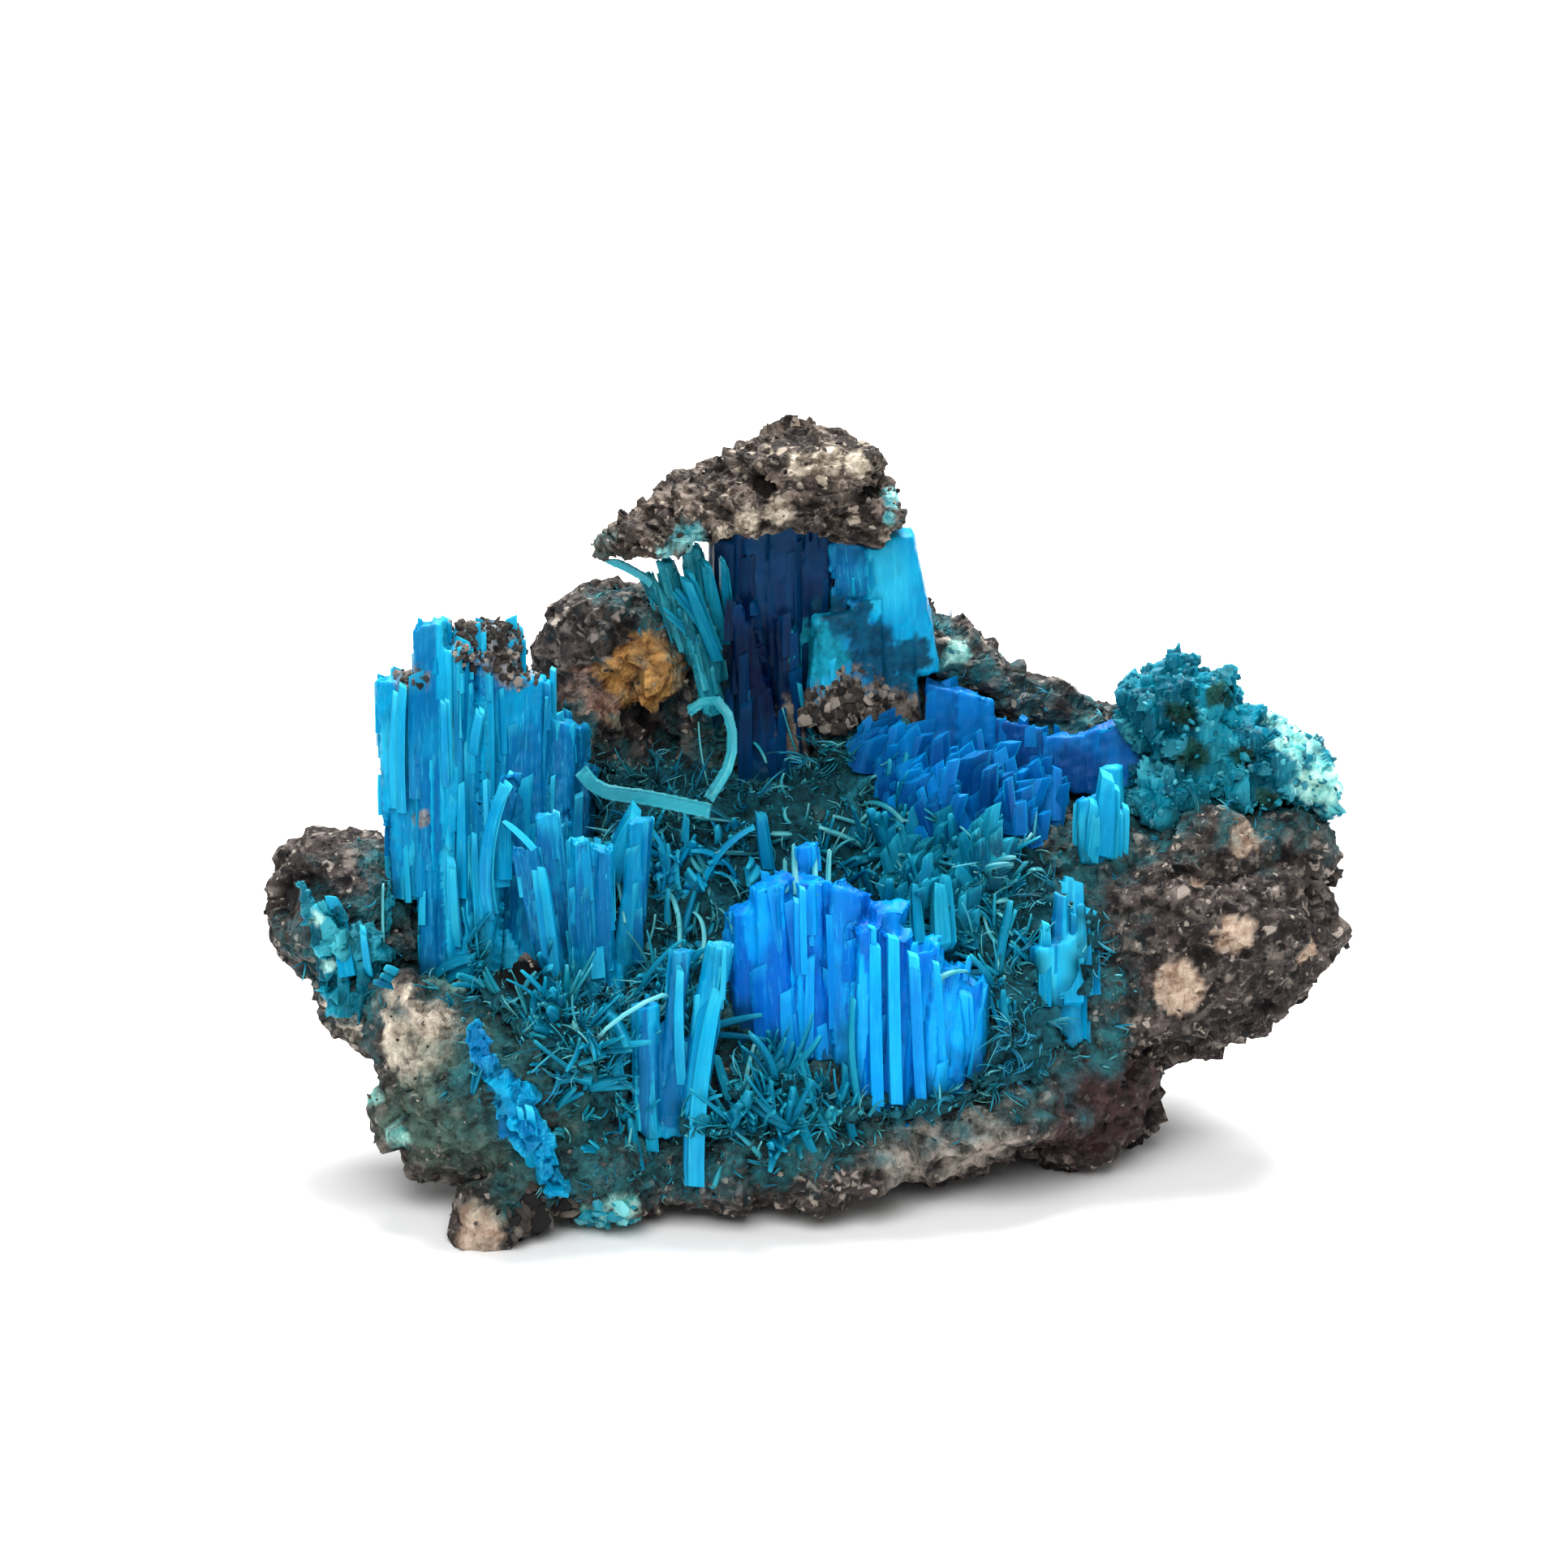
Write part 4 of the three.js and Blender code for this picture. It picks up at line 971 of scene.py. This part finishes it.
# Each row: root pixel, tip pixel, bend in radians, half width in mm, strands.
AZURE_BLADES = [
    (607, 1128, 627, 960, 0.8, 0.62, 2), (659, 1047, 623, 1013, -0.3, 0.35, 1),
    (684, 1215, 662, 1050, -0.15, 0.62, 2), (731, 1211, 727, 1036, 0.05, 0.75, 2),
    (750, 1200, 756, 1030, 0.1, 0.3, 2), (552, 965, 549, 862, 0.05, 0.6, 2),
    (582, 925, 590, 872, 0.2, 0.5, 2), (490, 1000, 492, 850, 0.2, 0.55, 2),
    (760, 1078, 788, 1006, 0.4, 0.85, 4), (812, 1078, 800, 1016, -1.6, 0.3, 1),
    (868, 1092, 932, 1019, 1.1, 0.42, 2), (952, 1072, 943, 1003, 0.1, 0.5, 2),
    (806, 1414, 802, 1236, 0.2, 0.62, 2), (836, 1335, 834, 1195, 0.2, 0.55, 2),
    (853, 1458, 884, 1176, 0.35, 0.78, 3), (842, 1052, 846, 998, 0.1, 0.4, 1),
    (656, 1436, 644, 1370, 0.2, 0.6, 3), (686, 1432, 672, 1384, 0.3, 0.4, 2),
    (430, 1202, 410, 1110, -0.1, 0.8, 3), (456, 1202, 448, 1148, 0.1, 0.6, 2),
    (562, 1165, 556, 1060, 0.1, 0.6, 2), (590, 1150, 582, 1030, 0.1, 0.5, 2),
    (1308, 1234, 1312, 1082, 0.05, 0.9, 3), (1288, 1232, 1290, 1140, 0.05, 0.9, 3),
    (1330, 1230, 1328, 1112, 0.05, 0.8, 3), (1362, 1052, 1368, 956, 0.05, 0.9, 2),
    (1345, 1056, 1350, 990, 0.05, 0.8, 2), (1378, 1050, 1382, 985, 0.05, 0.7, 2),
]
BRIGHT_BLADES = [
    (1078, 1370, 1074, 1140, 0.05, 0.6, 2), (1102, 1362, 1098, 1150, 0.05, 0.6, 2),
    (1132, 1350, 1124, 1172, 0.05, 0.55, 2), (1160, 1340, 1150, 1190, 0.05, 0.5, 2),
    (1192, 1330, 1186, 1212, 0.05, 0.6, 2), (992, 1200, 990, 1096, 0.05, 0.5, 2),
]
COBALT_BLADES = [
    (1132, 1008, 1160, 948, 0.1, 0.95, 3), (1100, 1000, 1094, 912, 0.1, 0.8, 3),
    (1182, 1040, 1184, 955, 0.05, 1.0, 3), (1225, 1040, 1228, 962, 0.05, 1.0, 3),
    (1266, 1030, 1268, 968, 0.05, 0.8, 3), (1294, 1012, 1296, 948, 0.05, 0.7, 2),
]
TEAL_BLADES = [
    (1150, 1080, 1124, 996, 0.15, 1.0, 3), (1116, 1086, 1104, 1008, 0.1, 0.7, 2),
    (1130, 1166, 1125, 1090, 0.05, 0.8, 3), (1160, 1168, 1156, 1080, 0.05, 0.8, 3),
    (1186, 1166, 1184, 1086, 0.05, 0.8, 3), (1205, 1068, 1240, 1064, 1.6, 0.35, 2),
    (640, 1274, 722, 1224, 0.3, 0.25, 3), (712, 1322, 655, 1280, 0.3, 0.25, 3),
    (880, 792, 832, 728, -0.3, 0.3, 3), (872, 806, 818, 752, -0.3, 0.3, 3),
    (1024, 1404, 985, 1293, 0.5, 0.45, 2), (1000, 1422, 972, 1322, 0.4, 0.5, 2),
    (960, 1410, 948, 1330, 0.4, 0.35, 2), (1062, 1372, 1052, 1220, 0.5, 0.35, 1),
    (1050, 1405, 1040, 1320, 0.4, 0.4, 2), (920, 1400, 905, 1330, -0.5, 0.35, 2),
    (545, 1205, 590, 1186, 0.8, 0.5, 2), (1000, 905, 985, 845, 0.3, 0.3, 2),
    (885, 800, 850, 704, 0.1, 0.7, 3), (892, 790, 872, 694, 0.1, 0.7, 3),
    (900, 780, 892, 690, 0.1, 0.6, 3), (905, 1360, 886, 1300, 0.3, 0.5, 3),
    (940, 1372, 930, 1300, 0.2, 0.5, 3),
    (760, 1330, 752, 1250, 0.2, 0.5, 3), (790, 1440, 778, 1370, 0.2, 0.4, 3),
]
PALE_BLADES = [
    (757, 1070, 769, 1136, 0.1, 0.26, 1), (821, 1095, 838, 1167, 0.9, 0.28, 1),
    (848, 1118, 866, 1177, 1.8, 0.25, 1), (885, 1072, 912, 1107, 1.2, 0.15, 1),
    (940, 1052, 882, 1050, 0.1, 0.16, 4), (967, 1102, 965, 1060, 0.1, 0.25, 2),
    (982, 1102, 979, 1042, 0.1, 0.25, 2), (1004, 1106, 1003, 1036, 0.1, 0.3, 2),
    (1019, 1110, 1021, 1046, 0.1, 0.3, 2), (1076, 1022, 1020, 1002, -0.3, 0.25, 2),
    (1066, 1043, 1012, 1020, -0.3, 0.3, 2), (1055, 1017, 1093, 987, 0.3, 0.3, 2),
    (1062, 992, 1118, 1014, 1.5, 0.25, 2), (1272, 1033, 1244, 1008, 0.1, 0.3, 1),
    (1145, 1003, 1202, 1042, 1.0, 0.14, 1), (914, 920, 944, 941, 1.8, 0.16, 1),
    (981, 928, 961, 864, 0.1, 0.12, 1), (838, 712, 804, 740, 0.1, 0.14, 2),
    (756, 1284, 735, 1282, -5.0, 0.14, 1), (725, 1292, 704, 1222, 0.9, 0.16, 1),
    (916, 1344, 929, 1287, 0.2, 0.24, 1), (905, 1150, 886, 1118, -0.6, 0.14, 1),
    (472, 1162, 472, 1090, 0.1, 0.24, 1), (1236, 1170, 1212, 1130, 1.2, 0.25, 2),
    (1150, 1212, 1190, 1196, 1.2, 0.3, 2), (872, 970, 858, 878, 0.3, 0.12, 1),
    (790, 1180, 812, 1120, -0.9, 0.16, 1), (690, 1262, 735, 1300, 1.4, 0.14, 1),
    (930, 1424, 938, 1404, 0.2, 0.16, 1), (1022, 1412, 1016, 1396, 0.2, 0.16, 1),
]
seen_trees = ground_trees + [surface_tree(piece) for piece in [cap, *bundles]]


def seen_at(pixel, otherwise):
    """How far from the camera the first surface behind a pixel of the photograph is."""
    hits = [tree.ray_cast(camera.location, photo_ray(pixel))[3] for tree in seen_trees]
    return min([far for far in hits if far is not None], default=otherwise)


def drawn(name, look, blades, seed, smooth=False, **form):
    """The blades of one list as a piece, each split in its strands."""
    draw = np.random.default_rng(seed)
    rows = []
    for root_x, root_y, tip_x, tip_y, bend, width, strands in blades:
        root_pixel, tip_pixel = (root_x, root_y), (tip_x, tip_y)
        root_far = seen_at(root_pixel, CAMERA_DISTANCE)
        tip_far = min(seen_at(tip_pixel, CAMERA_DISTANCE) - TIP_LIFT, root_far + LEAN)
        root = camera.location + photo_ray(root_pixel) * (root_far + ROOT_DEPTH)
        tip = camera.location + photo_ray(tip_pixel) * max(tip_far, root_far - LEAN)
        chord = (tip - root).normalized()
        side = chord.cross(towards_camera) * math.copysign(0.75, bend) - towards_camera * 0.65
        side = (side - chord * side.dot(chord)).normalized()
        half = abs(bend) / 2
        way = chord * math.cos(half) - side * math.sin(half)
        over = chord * math.sin(half) + side * math.cos(half)
        length = (tip - root).length * half / math.sin(half)
        rows += [(*root, *way, *over, length, width * MM, abs(bend))] * strands
    rows = np.array(rows)
    count = len(rows)
    widths = rows[:, 10] * draw.uniform(0.55, 1.05, count)
    roots = rows[:, 0:3] + draw.standard_normal((count, 3)) * 0.3 * widths[:, None]
    return grow(name, SHAVING, look, roots, rows[:, 3:6], rows[:, 6:9],
                rows[:, 9] * draw.uniform(0.86, 1.04, count), widths, rows[:, 11], draw, smooth=smooth,
                lightest=0.45, **form)


drawn("azure_blades", azure, AZURE_BLADES, 90, flat=0.6, taper=0.3, slant=0.3)
drawn("bright_blades", bright, BRIGHT_BLADES, 91, flat=0.6, taper=0.1, slant=0.3)
drawn("cobalt_blades", cobalt, COBALT_BLADES, 92, flat=0.6, taper=0.1, slant=0.4)
drawn("teal_blades", teal, TEAL_BLADES, 93, flat=0.45, taper=0.4, slant=0.4)
drawn("pale_blades", pale_teal, PALE_BLADES, 94, flat=0.4, taper=0.3, smooth=True)

# Loose curls
# Two long ribbons of satin fibre that curled free of the bundles, and a needle below the cap.
# Fine grooves follow each ribbon's bend.
CURL_GRID, RIBBON_REACH, GROOVE, THINNED = 0.1 * MM, 0.7 * MM, 0.08 * MM, 0.13 * MM
for node_name in ("long_curl", "hooked_curl", "cap_needle"):
    curl = skin_of(node_name, node_name + "_satin", CURL_GRID)
    points, normals = skin_arrays(curl.data)
    near = point_tree(points)
    middles = np.array([points[[found[1] for found in near.find_range(point, RIBBON_REACH)]].mean(axis=0)
                        for point in points])
    across = (points - middles) / MM
    grooves = np.array([noise.noise(Vector(offset) * 5) for offset in across], np.float32)
    move_skin(curl, points + normals * (GROOVE * grooves - THINNED)[:, None])
    store(curl.data, "grain", across * 2)
    # Painted light and shade along the grooves: lighter on the raised ones, darker in the low ones.
    store(curl.data, "relief", 0.55 + 0.3 * grooves)
    store(curl.data, "shade", 0.6 + 0.3 * grooves)
    dress(curl, pale_teal, node_name)

# Loose grains
# Crumbs of the wall rock stick to the left tower's top, at the rim of the deep hole's painted shade, on the
# columns and over the broken faces of the matrix. Crumbs of dried salt lie over the crest and the felt.
TOWER_TOP_SPOTS = [(602, 782, 54), (632, 812, 42), (508, 838, 20), (575, 772, 26)]
RIM_SPOTS = [(625, 1152, 34), (655, 1168, 26)]
INNER_ROCK_SPOTS = [(1050, 880, 62), (1000, 888, 40)]
LOBE_FOOT_SPOTS = [(655, 1490, 34), (640, 1512, 24), (690, 1495, 26)]
LOBE_RIM_SPOTS = [(690, 1518, 24), (735, 1508, 26), (765, 1492, 22)]
COLUMN_GRAIN = [(948, 768, 11)]

lump_shape = bmesh.new()
bmesh.ops.create_icosphere(lump_shape, subdivisions=1, radius=1)
LUMP = template(lump_shape)
grain_material, tree, principled = shader("loose_grain", IOR=1.5, Roughness=0.85, Specular_IOR_Level=0.2)
colour = toned(tree, 0.1, 0.6, (0.01, 0.009, 0.009), (0.07, 0.06, 0.052), (0.46, 0.4, 0.34))
tree.links.new(colour, principled.inputs["Base Color"])
salt_material, tree, principled = shader("salt_grain", IOR=1.5, Roughness=0.5, Specular_IOR_Level=0.3)
colour = toned(tree, 0, 0.7, (0.001, 0.06, 0.09), (0.006, 0.22, 0.3), (0.16, 0.55, 0.56))
tree.links.new(colour, principled.inputs["Base Color"])
grit_look, cap_look = (grain_material, "matrix_rock"), (grain_material, "cap_rock")
salt_look = salt_material, "turquoise_crystal"


def lumps(name, skin, count, thick, spots, sizes, lightness, look, seed):
    """Angular grains half sunk in a skin, each turned and stretched its own way."""
    def weight(place):
        return thick * photo_spot(place, spots) * (skin != rock or in_sight(place)) if spots else thick

    draw = np.random.default_rng(seed)
    places, normals = skin_samples(skin.data, count, draw)
    kept = np.array([normal[1] < 0.5 and draw.random() < weight(Vector(place))
                     for place, normal in zip(places, normals)])
    places = places[kept]
    count = len(places)
    points, triangles = LUMP
    axes = unit(draw.standard_normal((count, 3)))
    others = unit(np.cross(axes, draw.standard_normal((count, 3))))
    turns = np.stack([axes, others, np.cross(axes, others)], axis=1)
    size = sizes_between(sizes, draw, (count, 1, 1))
    dents = draw.uniform(0.7, 1.2, (count, len(points), 1))
    stretched = points * draw.uniform(0.35, 1.2, (count, 1, 3)) * dents
    copies = np.einsum("nij,njk->nik", stretched, turns) * size + places[:, None, :]
    piece = joined(name, copies, triangles, look, smooth=False)
    store(piece.data, "shade", np.repeat(draw.uniform(*lightness, count), len(points)))


# Each row: the name, the skin, how many places are tried, how thickly they lie, the spots if they lie
# in spots only, the sizes in mm, how light they are, the look and the seed.
tower, peak, columns, crest = (bpy.data.objects[name] for name in (
    "left_tower_crystals_satin", "peak_crystals_satin", "column_crystals_satin", "crest_crystals_crumbly"))
for row in (
    ("tower_dirt", tower, 16000, 2, TOWER_TOP_SPOTS, (0.1, 0.4), (0, 0.8), grit_look, 80),
    ("hole_rim", crust, 30000, 2, RIM_SPOTS, (0.15, 0.5), (0.1, 1), grit_look, 81),
    ("inner_rock", peak, 6000, 1.3, INNER_ROCK_SPOTS, (0.12, 0.5), (0, 0.8), grit_look, 82),
    ("column_grain", columns, 3000, 0.4, COLUMN_GRAIN, (0.2, 0.5), (0.8, 1), grit_look, 83),
    ("rock_grains", rock, 2600, 1, None, (0.08, 0.26), (0, 0.85), grit_look, 84),
    ("cap_grains", cap, 400, 1, None, (0.08, 0.28), (0, 0.9), cap_look, 85),
    ("lobe_foot", rock, 40000, 2, LOBE_FOOT_SPOTS, (0.3, 0.9), (0, 0.7), grit_look, 88),
    ("lobe_rim", rock, 40000, 2, LOBE_RIM_SPOTS, (0.2, 0.6), (0.5, 1), salt_look, 89),
    ("crest_crumbs", crest, 900, 1, None, (0.1, 0.34), (0.1, 0.8), salt_look, 86),
    ("felt_crumbs", crust, 1200, 1, None, (0.08, 0.24), (0.1, 0.85), salt_look, 87),
):
    lumps(*row)

# Table and light
# A plain white table and soft light from all round, strongest from above.
TABLE_REACH, ALL_ROUND_LIGHT = 3, 0.36
table_mesh = bpy.data.meshes.new("table")
table_shape = bmesh.new()
bmesh.ops.create_grid(table_shape, x_segments=1, y_segments=1, size=TABLE_REACH)
table_shape.to_mesh(table_mesh)
table_shape.free()
table_mesh.materials.append(shader("white_table", Base_Color=(0.9, 0.9, 0.9, 1), Roughness=0.8)[0])
table = placed("table", table_mesh)

world = bpy.data.worlds.new("studio")
world.use_nodes = True
background = world.node_tree.nodes["Background"].inputs
background["Color"].default_value = (1, 1, 1, 1)
background["Strength"].default_value = ALL_ROUND_LIGHT
bpy.context.scene.world = world
bpy.context.scene.view_settings.view_transform = "Standard"

# Each row: the name, the place and size in metres, and the power in watts.
for light_name, place, size, power in (
    ("front_light", (-0.04, -0.3, 0.42), 0.4, 2.6),
    ("top_light", (0.03, 0.24, 0.44), 0.3, 7),
):
    lamp_data = bpy.data.lights.new(light_name, "AREA")
    lamp_data.size = size
    lamp_data.energy = power
    lamp = placed(light_name, lamp_data)
    lamp.location = place
    lamp.rotation_euler = (LOOKED_AT - lamp.location).to_track_quat("-Z", "Y").to_euler()
